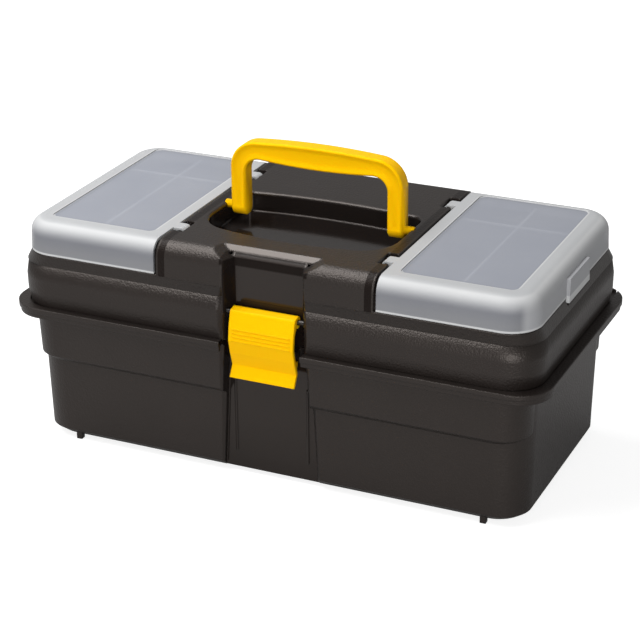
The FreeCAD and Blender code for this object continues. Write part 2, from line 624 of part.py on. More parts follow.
# Base tub: drafted walls, a wider band along front and back, the rim with its tongue and groove
def make_base_tub():
    body = new_body("base_tub")
    band_half_x = tub_length / 2 - band_fade
    walls(body, "band", band_half_x, band_width / 2, band_corner, band_inset, rim_under,
          band_foot + band_edge)
    slant_under(body, "band_underside", band_half_x, band_width / 2, band_corner, band_inset,
                band_foot, band_edge)
    tub_low = foot_height + tub_edge
    drafted_pad(body, "tub", oblong(body, "tub_outline", rim_under, tub_length / 2, tub_width / 2,
                                    tub_corner), rim_under - tub_low, -tub_inset(tub_low), reverse=True)
    slant_under(body, "tub_underside", tub_length / 2, tub_width / 2, tub_corner - tub_inset(tub_low),
                tub_inset, foot_height, tub_edge)

    # Rim plate with a turned-down lip
    skirt_half_x = rim_length / 2 - rim_step
    skirt_half_y = rim_width / 2 - rim_step
    lip = oblong(body, "rim_lip_outline", rim_under - rim_skirt, skirt_half_x, skirt_half_y,
                 rim_corner - rim_step)
    add_rounded(lip, -skirt_half_x + rim_lip, skirt_half_x - rim_lip, -skirt_half_y + rim_lip,
                skirt_half_y - rim_lip, rim_corner - rim_step - rim_lip)
    pad(body, "rim_plate", oblong(body, "rim_outline", rim_under, rim_length / 2, rim_width / 2,
                                  rim_corner), rim_plate)
    pad(body, "rim_lip", lip, rim_skirt)

    # Groove for the lid's edge and the tongue inside it
    groove = oblong(body, "groove_outline", rim_height, lid_foot_length / 2 + groove_side,
                    lid_foot_width / 2 + groove_side, lid_corner + groove_side)
    add_rounded(groove, -tongue_half_x, tongue_half_x, -tongue_half_y, tongue_half_y, tongue_corner)
    pocket(body, "groove", groove, groove_depth)
    tongue = oblong(body, "tongue_outline", groove_floor, tongue_half_x, tongue_half_y, tongue_corner)
    inner_x = tongue_half_x - tongue_wall
    add_rounded(tongue, -inner_x, inner_x, -mouth_half_y, mouth_half_y, mouth_corner)
    pad(body, "tongue", tongue, groove_depth + tongue_height)

    # Inside: the mouth, the wider part above the ledges and the narrower tub below them
    inside_foot = foot_height + tub_floor
    pocket(body, "mouth", oblong(body, "mouth_outline", rim_height, mouth_half_x, mouth_half_y,
                                 mouth_corner), rim_plate + collar_height)
    collar_foot = rim_under - collar_height
    walls(body, "inside_band", band_half_x - tub_wall, band_width / 2 - tub_wall,
          band_corner - tub_wall, band_inset, collar_foot, ledge, cut=True)
    inset = tub_inset(collar_foot)
    drafted_pocket(body, "inside_tub",
                   oblong(body, "inside_tub_outline", collar_foot, tub_length / 2 - tub_wall - inset,
                          tub_width / 2 - tub_wall - inset, tub_corner - tub_wall),
                   collar_foot - inside_foot, -(tub_inset(inside_foot) - inset))

    # Front channel: a set-back wall behind the latch, from the rim to the bottom
    back = -(channel_y - tub_wall)

    def channel_section(name, height, front):
        half = channel_half(height) + tub_wall
        return rectangle(new_sketch(body, name, "XY_Plane", height), -half, half, -front, back)

    low = inside_foot - weld
    high = ledge + weld
    loft(body, "channel_wall_low", [
        channel_section("channel_low_foot", low, tub_width / 2 - tub_inset(low) - tub_wall / 2),
        channel_section("channel_low_top", high, tub_width / 2 - tub_inset(high) - tub_wall / 2)])
    loft(body, "channel_wall_high", [
        channel_section("channel_high_foot", ledge, band_width / 2 - band_inset(ledge) - tub_wall / 2),
        channel_section("channel_high_top", groove_floor, band_width / 2 - tub_wall / 2)])
    mouth = new_sketch(body, "channel_outline", "XZ_Plane", channel_y)
    low_half = channel_half(-beyond)
    high = rim_height + tongue_height + beyond
    high_half = channel_half(high)
    add_outline(mouth, [(-low_half, -beyond), (low_half, -beyond), (high_half, high), (-high_half, high)])
    pocket(body, "channel", mouth, rim_width / 2 - channel_y + beyond, reverse=True)
    for name, front, foot, top in (("band", band_width / 2, band_foot, rim_under),
                                   ("tub", tub_width / 2 - tub_inset(band_foot), -channel_soft, band_foot)):
        edge = new_sketch(body, f"channel_edge_{name}_outline", "XZ_Plane", front)
        foot_half_width = channel_half(foot) + channel_soft
        top_half_width = channel_half(top) + channel_soft
        add_outline(edge, [(-foot_half_width, foot), (foot_half_width, foot),
                           (top_half_width, top), (-top_half_width, top)])
        drafted_pocket(body, f"channel_edge_{name}", edge, channel_soft, -channel_soft)
    ribs = new_sketch(body, "channel_rib_outline", "XZ_Plane", channel_y - weld)
    for side in (-1, 1):
        middle = side * channel_rib_x
        rectangle(ribs, middle - channel_rib / 2, middle + channel_rib / 2, channel_rib_foot,
                  channel_rib_top)
    pad(body, "channel_ribs", ribs, channel_rib_height + weld)

    # The tongue is left out over the channel and at the back, where the lid's wall swings in
    gaps = new_sketch(body, "tongue_gap_outline", "XY_Plane", groove_floor)
    gap_half = channel_top + tub_wall + tongue_end
    rectangle(gaps, -gap_half, gap_half, -(lid_foot_width / 2), back + beyond)
    reach = lid_foot_length / 2
    rectangle(gaps, -reach, reach, lid_foot_width / 2 - lid_corner - tongue_back,
              lid_foot_width / 2 + groove_side)
    pocket(body, "tongue_gaps", gaps, tongue_height + groove_depth + beyond, reverse=True)

    # Catch bar for the latch's hook
    catch = new_sketch(body, "catch_outline", "YZ_Plane")
    root = -(channel_y - weld)
    nose = -(channel_y + catch_reach)
    catch_top = catch_low + catch_thick
    add_outline(catch, [(root, catch_low), (nose + catch_bevel, catch_low), (nose, catch_low + catch_bevel),
                        (nose, catch_top - catch_bevel), (nose + catch_bevel, catch_top), (root, catch_top)])
    pad(body, "catch", catch, 2 * catch_half, symmetric=True)

    # Feet
    feet = new_sketch(body, "feet_outline", "XY_Plane")
    for x in (-foot_x, foot_x):
        for y in (-foot_y, foot_y):
            rectangle(feet, x - foot_half, x + foot_half, y - foot_half, y + foot_half)
    pad(body, "feet", feet, inside_foot - weld)

    # Rear hinge knuckles, cut from one bar on the rim
    inner_end = hinge_x - hinge_knuckle / 2 - hinge_gap
    outer_end = hinge_x + hinge_knuckle / 2 + hinge_gap
    bar = new_sketch(body, "knuckle_outline", "YZ_Plane")
    add_outline(bar, [
        (hinge_y - hinge_round, hinge_z, hinge_y, hinge_z + hinge_round), (hinge_y + hinge_round, hinge_z),
        (hinge_y + hinge_round, rim_under + weld), (hinge_y - hinge_round, rim_under + weld)])
    pad(body, "knuckles", bar, 2 * (outer_end + hinge_side), symmetric=True)
    spaces = new_sketch(body, "knuckle_space_outline", "XY_Plane", rim_height)
    front = hinge_y - hinge_round - beyond
    rear = hinge_y + hinge_round + beyond
    rectangle(spaces, -(inner_end - hinge_side), inner_end - hinge_side, front, rear)
    rectangle(spaces, inner_end, outer_end, front, rear)
    rectangle(spaces, -outer_end, -inner_end, front, rear)
    pocket(body, "knuckle_spaces", spaces, hinge_z - rim_height + hinge_round + beyond, reverse=True)
    bore = new_sketch(body, "hinge_bore_outline", "YZ_Plane")
    add_circle(bore, hinge_y, hinge_z, hinge_pin)
    pocket(body, "hinge_bore", bore, rim_length, symmetric=True)
    return body


# Lid: skirt, shoulder, deck with the handle's well, two bins and the latch's recess
def make_lid_shell():
    body = new_body("lid_shell")
    deck = new_sketch(body, "deck_outline", "YZ_Plane")
    half_low = lid_top_width / 2
    half_high = half_low - lid_top_draft
    add_outline(deck, [(-half_low, shoulder_top), (half_low, shoulder_top),
                       (half_high, lid_top), (-half_high, lid_top)])
    pad(body, "deck", deck, 2 * deck_half, symmetric=True)
    round_edges(body, "deck_front_edge", deck_front_round,
                lambda edge: flat_at(edge, lid_top) and edge.BoundBox.YMax < 0)
    round_edges(body, "deck_back_edge", deck_back_round,
                lambda edge: flat_at(edge, lid_top) and edge.BoundBox.YMin > 0)

    # Skirt in three slanted bands that follow a shallow swell
    def swell(height):
        share = (lid_swell_height - height) / (lid_swell_height - lid_foot)
        return lid_bulge * (1 - share * share)

    bands = 3
    for index in range(bands):
        low = lid_foot + (shoulder_foot - lid_foot) * index / bands
        high = lid_foot + (shoulder_foot - lid_foot) * (index + 1) / bands
        walls(body, f"skirt_{index}", lid_foot_length / 2, lid_foot_width / 2, lid_corner + lid_bulge,
              lambda height: -swell(height), high, low)
    grow = swell(shoulder_foot)
    loft(body, "shoulder", [
        oblong(body, "shoulder_foot_outline", shoulder_foot, lid_foot_length / 2 + grow,
               lid_foot_width / 2 + grow, lid_corner + grow),
        oblong(body, "shoulder_top_outline", shoulder_top, lid_top_length / 2, lid_top_width / 2,
               lid_corner)])
    pad(body, "shelf", oblong(body, "shelf_outline", shoulder_top, lid_top_length / 2,
                              lid_top_width / 2, lid_corner), shelf_height)
    bin_lean = lid_top_draft * (bin_top - shelf_top) / (lid_top - cover_foot)
    drafted_pad(body, "bin_walls", oblong(body, "bin_walls_outline", shelf_top, bin_outer_x, bin_outer_y,
                                          lid_corner - cover_wall - cover_gap),
                bin_top - shelf_top, -bin_lean)
    sides = new_sketch(body, "bin_side_outline", "YZ_Plane")
    side_y = bin_outer_y - bin_lean - weld
    slope = bin_side_top - bin_top
    add_outline(sides, [(-side_y, shelf_top), (side_y, shelf_top), (side_y, bin_top),
                        (side_y - slope, bin_side_top), (-(side_y - slope), bin_side_top),
                        (-side_y, bin_top)])
    pad(body, "bin_sides", sides, 2 * bin_inner, symmetric=True)

    # Hollow from below: under the bins, then up inside the deck
    bin_under = bin_floor - bin_floor_thick
    walls(body, "hollow_low", lid_inner_half_x, lid_inner_half_y, lid_corner - lid_wall,
          lambda height: -swell(height), bin_under, lid_foot, cut=True)
    hollow = new_sketch(body, "deck_hollow_outline", "YZ_Plane")
    wall_in = half_high - lid_wall
    front_cut = deck_front_round - deck_hollow_less
    back_cut = deck_back_round - deck_hollow_less
    add_outline(hollow, [(-wall_in, bin_under - weld), (wall_in, bin_under - weld),
                         (wall_in, ceiling - back_cut), (wall_in - back_cut, ceiling),
                         (-(wall_in - front_cut), ceiling), (-wall_in, ceiling - front_cut)])
    pocket(body, "deck_hollow", hollow, 2 * (deck_half - deck_lip), symmetric=True)

    # Handle's well, hung from the deck, with the seats for the handle's pegs. The seats are open
    # at the deck's top, narrower there than the pegs.
    def well_side(sign, grow, depth, bow, corner):
        """Tangent points of one bowed side and its round corners, and the corner's middle point."""
        end = well_half + grow
        bow = bow + grow
        corner = corner + grow
        bow_centre = depth + grow - bow
        swing_radius = bow - corner
        corner_x = end - corner
        across = corner_x / swing_radius
        along = square_root(swing_radius * swing_radius - corner_x * corner_x) / swing_radius
        centre = bow_centre + swing_radius * along
        length = square_root((1 + across) * (1 + across) + along * along)
        return {
            "bow": (bow * across, sign * (bow_centre + bow * along)), "top": sign * (depth + grow),
            "middle": (corner_x + corner * (1 + across) / length,
                       sign * (centre + corner * along / length)),
            "side": (end, sign * centre)}

    def well_outline(name, height, grow):
        outline = new_sketch(body, name, "XY_Plane", height)
        front = well_side(-1, grow, well_front, well_front_bow, well_front_corner)
        back = well_side(1, grow, well_back, well_back_bow, well_back_corner)

        def left(point):
            return (-point[0], point[1])

        return add_outline(outline, [
            (*left(front["bow"]), 0, front["top"]), (*front["bow"], *front["middle"]), front["side"],
            (*back["side"], *back["middle"]), (*back["bow"], 0, back["top"]),
            (*left(back["bow"]), *left(back["middle"])), left(back["side"]),
            (*left(front["side"]), *left(front["middle"]))])

    well_foot = well_floor - well_thick
    pad(body, "well_wall", well_outline("well_wall_outline", well_foot, lid_wall),
        ceiling + weld - well_foot)
    seat_end = handle_half + peg_length + peg_end_gap
    block = new_sketch(body, "seat_block_outline", "YZ_Plane")
    reach = peg_round + lid_wall
    rectangle(block, -(pivot_y + reach), -(pivot_y - reach), pivot_z - reach, ceiling + weld)
    pad(body, "seat_blocks", block, 2 * (seat_end + lid_wall), symmetric=True)
    pocket(body, "well", well_outline("well_outline", lid_top, 0), well_depth)

    def round_the_well(edge):
        box = edge.BoundBox
        reach_x = well_half.number + beyond.number
        return (flat_at(edge, lid_top) and max(-box.XMin, box.XMax) < reach_x
                and -box.YMin < well_front.number + beyond.number
                and box.YMax < well_back.number + beyond.number)

    bevel_edges(body, "well_rim", well_edge, round_the_well)
    seat = new_sketch(body, "seat_outline", "YZ_Plane")
    add_circle(seat, -pivot_y, pivot_z, peg_round + pin_fit)
    pocket(body, "seats", seat, 2 * seat_end, symmetric=True)

    # Front recess: its housing and pin bosses inside the lid, then the cut with flared sides
    flare = (recess_mouth_half - recess_floor_half) / (recess_mouth_y - recess_y)

    def recess_half(distance):
        return recess_floor_half + flare * (distance - recess_y)

    house_back = recess_y - lid_wall
    back_half = recess_half(house_back) + house_wall
    skirt_middle = lid_inner_half_y + (lid_wall + lid_bulge) / 2
    for name, foot, top, front in (("low", lid_foot, bin_under + weld, skirt_middle),
                                   ("high", bin_under, ceiling + weld, half_high - weld)):
        house = new_sketch(body, f"recess_housing_{name}_outline", "XY_Plane", foot)
        front_half = recess_half(front) + house_wall
        add_outline(house, [(-back_half, -house_back), (-front_half, -front),
                            (front_half, -front), (back_half, -house_back)])
        pad(body, f"recess_housing_{name}", house, top - foot)
    boss = new_sketch(body, "pin_boss_outline", "YZ_Plane")
    add_circle(boss, -latch_pin_y, latch_pin_z, latch_pin + lid_wall)
    pad(body, "pin_bosses", boss, 2 * (latch_pin_half + lid_wall), symmetric=True)
    far_y = lid_foot_width / 2 + lid_bulge + beyond

    def recess_outline(name, height, floor_half, floor_y):
        """Sides that flare slightly, and more from recess_turn outwards, which slants their edge."""
        turn_y = floor_y + recess_turn - recess_y
        turn_half = floor_half + flare * (recess_turn - recess_y)
        far_half = turn_half + far_y - turn_y
        outline = new_sketch(body, name, "XY_Plane", height)
        return add_outline(outline, [
            (-floor_half, -floor_y), (-turn_half, -turn_y), (-far_half, -far_y), (far_half, -far_y),
            (turn_half, -turn_y), (floor_half, -floor_y)])

    pocket(body, "recess", recess_outline("recess_outline", lid_foot, recess_floor_half, recess_y),
           recess_top - lid_foot, reverse=True)
    loft(body, "recess_bevel", [
        recess_outline("bevel_foot_outline", recess_top, recess_floor_half, recess_y),
        recess_outline("bevel_top_outline", lid_top, recess_flare_half, recess_flare_y)], cut=True)
    bore = new_sketch(body, "latch_bore_outline", "YZ_Plane")
    add_circle(bore, -latch_pin_y, latch_pin_z, latch_pin)
    pocket(body, "latch_bore", bore, 2 * latch_pin_half, symmetric=True)

    # Bins with round corners, and guide ribs in pairs that hold the dividers by their ends
    bins = new_sketch(body, "bin_outline", "XY_Plane", bin_side_top)
    for side in (-1, 1):
        round_corners(bins, side * bin_inner, side * bin_far, bin_reach, bin_near_corner,
                      lid_corner - cover_wall - cover_gap - lid_wall)
    pocket(body, "bins", bins, bin_side_top - bin_floor)
    ribs = new_sketch(body, "guide_rib_outline", "XY_Plane", bin_floor - weld)
    near_edge = divider_thick / 2 + divider_gap
    far_edge = near_edge + rib_thick
    for side in (-1, 1):
        for offset in (-1, 1):
            x_low, x_high = in_order(side * divider_x + offset * near_edge,
                                     side * divider_x + offset * far_edge)
            rectangle(ribs, x_low, x_high, -(bin_reach + weld), -(bin_reach - divider_rib))
            rectangle(ribs, x_low, x_high, bin_reach - divider_rib, bin_reach + weld)
            y_low, y_high = in_order(divider_y + offset * near_edge, divider_y + offset * far_edge)
            for wall, inward in ((side * bin_inner, side), (side * bin_far, -side)):
                x_low, x_high = in_order(wall - inward * weld, wall + inward * divider_rib)
                rectangle(ribs, x_low, x_high, y_low, y_high)
    pad(body, "guide_ribs", ribs, bin_top - rib_drop - bin_floor + weld)

    # Notches in the shoulder under the covers' tabs, and the ridges that the tabs snap over
    notches = new_sketch(body, "tab_notch_outline", "XY_Plane", shelf_top + beyond)
    ridges = new_sketch(body, "ridge_outline", "XZ_Plane")
    for side in (-1, 1):
        x_low, x_high = in_order(side * bin_outer_x, side * (lid_foot_length / 2 + lid_bulge + beyond))
        rectangle(notches, x_low, x_high, -(tab_half + tab_side), tab_half + tab_side)
        wall_x = side * (bin_outer_x - weld)
        out_x = side * (bin_outer_x + ridge_out)
        low = cover_foot + ridge_foot
        add_outline(ridges, [(wall_x, low), (out_x, low + ridge_height / 4),
                             (out_x, low + ridge_height / 2), (wall_x, low + ridge_height)])
    pocket(body, "tab_notches", notches, beyond + tab_drop - cover_lift + tab_clear)
    pad(body, "ridges", ridges, 2 * ridge_half, symmetric=True)

    # Slots in the deck's ends with a housing each, and the hinge bars across them
    slot_in = clip_pin_x - clip_round - slot_clear
    slot_floor = clip_z - clip_round - slot_clear
    shells = new_sketch(body, "slot_shell_outline", "XY_Plane", slot_floor - slot_wall)
    slots = new_sketch(body, "slot_outline", "XY_Plane", lid_top + beyond)
    for side in (-1, 1):
        for end in (-1, 1):
            y_low, y_high = end * clip_y - slot_length / 2, end * clip_y + slot_length / 2
            x_low, x_high = in_order(side * (slot_in - slot_wall), side * (deck_half - weld))
            rectangle(shells, x_low, x_high, y_low - slot_wall, y_high + slot_wall)
            x_low, x_high = in_order(side * slot_in, side * (bin_inner + weld))
            rectangle(slots, x_low, x_high, y_low, y_high)
    pad(body, "slot_shells", shells, ceiling + weld - slot_floor + slot_wall)
    pocket(body, "slots", slots, lid_top + beyond - slot_floor)
    for end, name in ((-1, "front"), (1, "back")):
        bars = new_sketch(body, f"hinge_bar_outline_{name}", "XZ_Plane",
                          -(end * clip_y - slot_length / 2 - weld))
        for side in (-1, 1):
            add_circle(bars, side * clip_pin_x, clip_z, clip_pin)
        pad(body, f"hinge_bars_{name}", bars, slot_length + 2 * weld, reverse=True)

    # Rear hinges: flats that clear the base's knuckles, then the lid's own knuckles
    flats = new_sketch(body, "knuckle_flat_outline", "XY_Plane", lid_foot)
    flat_y = hinge_y - hinge_round - hinge_gap
    start = hinge_x - hinge_knuckle / 2 - 2 * hinge_gap - hinge_side
    end = hinge_x + hinge_knuckle / 2 + 2 * hinge_gap + hinge_side
    for side in (-1, 1):
        x_low, x_high = in_order(side * start, side * end)
        rectangle(flats, x_low, x_high, flat_y, lid_foot_width / 2 + lid_bulge + beyond)
    pocket(body, "knuckle_flats", flats, hinge_z + hinge_round + hinge_gap - lid_foot, reverse=True)
    for side in (-1, 1):
        tag = "left" if side < 0 else "right"
        knuckle = new_sketch(body, f"knuckle_outline_{tag}", "YZ_Plane", side * hinge_x - hinge_knuckle / 2)
        root = flat_y - weld
        add_outline(knuckle, [
            (root, hinge_z - hinge_round),
            (hinge_y, hinge_z - hinge_round, hinge_y + hinge_round, hinge_z),
            (hinge_y, hinge_z + hinge_round), (root, hinge_z + hinge_round + knuckle_heel)])
        pad(body, f"knuckle_{tag}", knuckle, hinge_knuckle)
    hinge = new_sketch(body, "hinge_bore_outline", "YZ_Plane")
    add_circle(hinge, hinge_y, hinge_z, hinge_pin + pin_fit)
    pocket(body, "hinge_bore", hinge, rim_length, symmetric=True)
    return body


# Cover of one bin: a shell with a sunk window, a latch tab and two hinge clips
def make_cover(side):
    tag = "left" if side < 0 else "right"
    body = new_body(f"cover_{tag}")
    half_y = lid_top_width / 2
    outer = lid_top_length / 2

    def ordered(a, b):
        return (a, b) if side > 0 else (-b, -a)

    def section(name, height, inset, lean, spare):
        x_low, x_high = ordered(cover_inner - spare + inset, outer - inset - lean)
        reach = half_y - inset - lean
        return add_rounded(new_sketch(body, name, "XY_Plane", height), x_low, x_high, -reach, reach,
                           lid_corner - inset)

    # The shell is rounded all round, and its inner end is then cut away
    spare = lid_corner + cover_round
    inside = lid_top - cover_wall
    height = lid_top - cover_foot
    drafted_pad(body, "block", section("foot_outline", cover_foot, 0, 0, spare), height, -lid_top_draft)
    round_edges(body, "top_edges", cover_round, lambda edge: flat_at(edge, lid_top))
    slant_foot = inside - cover_bevel
    lean = lid_top_draft * (slant_foot - cover_foot) / height
    loft(body, "hollow", [section("hollow_foot_outline", cover_foot, cover_wall, 0, spare),
                          section("hollow_top_outline", slant_foot, cover_wall, lean, spare)], cut=True)
    loft(body, "hollow_slant", [
        section("slant_foot_outline", slant_foot, cover_wall, lean, spare),
        section("slant_top_outline", inside, cover_wall, lean + cover_bevel, spare)], cut=True)
    end_cut = new_sketch(body, "inner_end_cut", "XY_Plane", cover_foot - beyond)
    x_low, x_high = ordered(cover_inner - spare - beyond, cover_inner)
    rectangle(end_cut, x_low, x_high, -half_y - beyond, half_y + beyond)
    pocket(body, "inner_end", end_cut, height + 2 * beyond, reverse=True)

    window = new_sketch(body, "window_outline", "XY_Plane", lid_top)
    x_low, x_high = ordered(cover_inner + window_near, outer - window_far)
    add_rounded(window, x_low, x_high, -(half_y - window_front), half_y - window_back, window_corner)
    pocket(body, "window", window, window_depth)

    # Latch tab at the end, hollow behind, with a bead that catches under the lid's ridge
    tab = new_sketch(body, "tab_outline", "YZ_Plane", side * (outer - cover_wall + weld))
    tab_foot = cover_foot - tab_drop
    tab_top = cover_foot + tab_rise
    add_outline(tab, [(-tab_half, tab_foot), (tab_half, tab_foot), (tab_half - tab_draft, tab_top),
                      (-(tab_half - tab_draft), tab_top)])
    pad(body, "tab", tab, tab_out + cover_wall - weld, reverse=side < 0)
    relief = new_sketch(body, "tab_relief_outline", "XZ_Plane")
    near_x = side * (outer - cover_wall - beyond)
    far_x = side * (outer + tab_out - cover_wall)
    bead_x = side * (outer + tab_out - cover_wall - bead_out)
    bead_low = tab_foot + bead_foot
    add_outline(relief, [(near_x, tab_foot - beyond), (far_x, tab_foot - beyond), (far_x, bead_low),
                         (bead_x, bead_low + bead_height / 3), (bead_x, bead_low + bead_height / 2),
                         (far_x, bead_low + bead_height), (far_x, tab_top - tab_relief),
                         (near_x, tab_top)])
    pocket(body, "tab_relief", relief, 2 * (tab_half - tab_cheek), symmetric=True)

    # Hinge clips on arms out of the inner edge
    for end in (-1, 1):
        name = "front" if end < 0 else "back"
        start = -(end * clip_y - clip_width / 2)
        arm = new_sketch(body, f"arm_outline_{name}", "XZ_Plane", start)
        x_low, x_high = ordered(clip_pin_x, cover_inner + weld)
        rectangle(arm, x_low, x_high, lid_top - cover_wall, clip_z + clip_round)
        pad(body, f"arm_{name}", arm, clip_width, reverse=True)
        clip = new_sketch(body, f"clip_outline_{name}", "XZ_Plane", start)
        add_circle(clip, side * clip_pin_x, clip_z, clip_round)
        pad(body, f"clip_{name}", clip, clip_width, reverse=True)
        grip = new_sketch(body, f"clip_bore_outline_{name}", "XZ_Plane", start)
        add_circle(grip, side * clip_pin_x, clip_z, clip_pin + pin_fit)
        pocket(body, f"clip_bore_{name}", grip, clip_width)
        mouth = new_sketch(body, f"clip_mouth_outline_{name}", "XZ_Plane", start)
        centre = side * clip_pin_x
        rectangle(mouth, centre - clip_mouth / 2, centre + clip_mouth / 2,
                  clip_z - clip_round - beyond, clip_z)
        pocket(body, f"clip_mouth_{name}", mouth, clip_width)
    return body


# Carrying handle: a bowed grip on two legs, each with a peg
def make_handle():
    body = new_body("handle")
    outline = new_sketch(body, "handle_outline", "XZ_Plane")
    foot = pivot_z - handle_depth / 2
    top = pivot_z + handle_rise
    top_end = top - handle_crown
    inner = handle_half - handle_leg
    under = top - handle_grip
    under_end = under + handle_bow
    add_outline(outline, [
        (-handle_half, foot), (-inner, foot), (-inner, under_end, 0, under), (inner, under_end),
        (inner, foot), (handle_half, foot), (handle_half, top_end, 0, top), (-handle_half, top_end)])
    pad(body, "bail", outline, handle_depth, symmetric=True)

    def across(edge, height):
        return flat_at(edge, height) and edge.BoundBox.YLength > handle_depth.number - 0.1

    round_edges(body, "outer_corners", handle_corner, lambda edge: across(edge, top_end))
    round_edges(body, "inner_corners", handle_crook, lambda edge: across(edge, under_end))
    round_edges(body, "leg_ends", handle_toe,
                lambda edge: flat_at(edge, foot) and edge.BoundBox.XLength > 1)
    rim_y = handle_depth / 2
    bevel_edges(body, "soft_edges", handle_soft,
                lambda edge: near(abs(edge.BoundBox.YMin), rim_y) and near(abs(edge.BoundBox.YMax), rim_y)
                and edge.BoundBox.YLength < 0.1)
    for side in (-1, 1):
        tag = "left" if side < 0 else "right"
        peg = new_sketch(body, f"peg_outline_{tag}", "YZ_Plane", side * (handle_half - weld))
        add_circle(peg, 0, pivot_z, peg_round)
        pad(body, f"peg_{tag}", peg, peg_length + weld, reverse=side < 0)
    body.Placement = FreeCAD.Placement(Vector(0, -pivot_y.number, 0), FreeCAD.Rotation())
    bind(body, "Placement.Base.y", -pivot_y)
    return body


# Front latch: a bent plate on a barrel, with a hook inside and grip ribs outside
def make_front_latch():
    body = new_body("front_latch")
    outline = new_sketch(body, "plate_outline", "YZ_Plane")
    thick = latch_thick
    top_z = latch_pin_z + latch_barrel
    brow_y = latch_pin_y + latch_brow_out
    brow_z = latch_pin_z + latch_brow_up
    face_y = latch_knee_y - latch_face_lean
    face_z = latch_knee_z + latch_face_rise
    belly_y = latch_waist_y + latch_belly_out
    belly_z = latch_knee_z - latch_belly_drop
    add_outline(outline, [
        (-(latch_pin_y - latch_crown), top_z), (-brow_y, brow_z), (-face_y, face_z),
        (-latch_knee_y, latch_knee_z), (-belly_y, belly_z), (-latch_waist_y, latch_waist_z),
        (-latch_lip_y, latch_lip_z), (-(latch_lip_y - latch_lip_edge), latch_lip_z - latch_lip_edge / 2),
        (-(latch_waist_y - thick), latch_waist_z), (-(belly_y - thick), belly_z),
        (-(latch_knee_y - thick), latch_knee_z), (-(face_y - thick), face_z),
        (-(brow_y - thick), latch_pin_z - thick), (-latch_pin_y, latch_pin_z - weld)])
    pad(body, "plate", outline, 2 * latch_half, symmetric=True)

    def along_x(edge):
        return edge.BoundBox.XLength > 2 * latch_half.number - 0.1

    def outer_bend(edge):
        centre = edge.BoundBox.Center
        brow = near(centre.y, -brow_y) and near(centre.z, brow_z)
        return along_x(edge) and brow

    round_edges(body, "brow", latch_brow_round, outer_bend)
    barrel = new_sketch(body, "barrel_outline", "YZ_Plane")
    add_circle(barrel, -latch_pin_y, latch_pin_z, latch_barrel)
    pad(body, "barrel", barrel, 2 * latch_half, symmetric=True)
    hook = new_sketch(body, "hook_outline", "YZ_Plane")
    root = -latch_waist_y
    nose = -(latch_waist_y - thick - hook_reach)
    hook_top = catch_low - hook_gap
    add_outline(hook, [(root, hook_top - hook_height), (nose - hook_slant, hook_top - hook_height),
                       (nose, hook_top - hook_tip), (nose, hook_top), (root, hook_top)])
    pad(body, "hook", hook, 2 * (latch_half - hook_side), symmetric=True)
    for index in range(4):
        height = latch_knee_z + latch_rib_start + index * latch_rib_pitch
        rib = new_sketch(body, f"grip_rib_outline_{index}", "YZ_Plane")
        face = between(-latch_knee_y, -face_y, latch_knee_z, face_z, height)
        add_outline(rib, [(face + weld, height - latch_rib_foot), (face - latch_rib, height - latch_rib_top),
                          (face - latch_rib, height + latch_rib_top), (face + weld, height + latch_rib_foot)])
        pad(body, f"grip_rib_{index}", rib, 2 * (latch_half - latch_rib_side), symmetric=True)
    bore = new_sketch(body, "pin_bore_outline", "YZ_Plane")
    add_circle(bore, -latch_pin_y, latch_pin_z, latch_pin + pin_fit)
    pocket(body, "pin_bore", bore, 2 * (latch_half + beyond), symmetric=True)
    return body


# Straight round pin along X
def make_pin(label, radius, x, y, z, length):
    pin = doc.addObject("Part::Cylinder", label)
    pin.Label = label
    bind(pin, "Radius", radius)
    bind(pin, "Height", length)
    start = as_size(x) - as_size(length) / 2
    pin.Placement = FreeCAD.Placement(Vector(start.number, as_size(y).number, as_size(z).number),
                                      FreeCAD.Rotation(Vector(0, 1, 0), 90))
    bind(pin, "Placement.Base.x", start)
    bind(pin, "Placement.Base.y", y)
    bind(pin, "Placement.Base.z", z)
    return pin


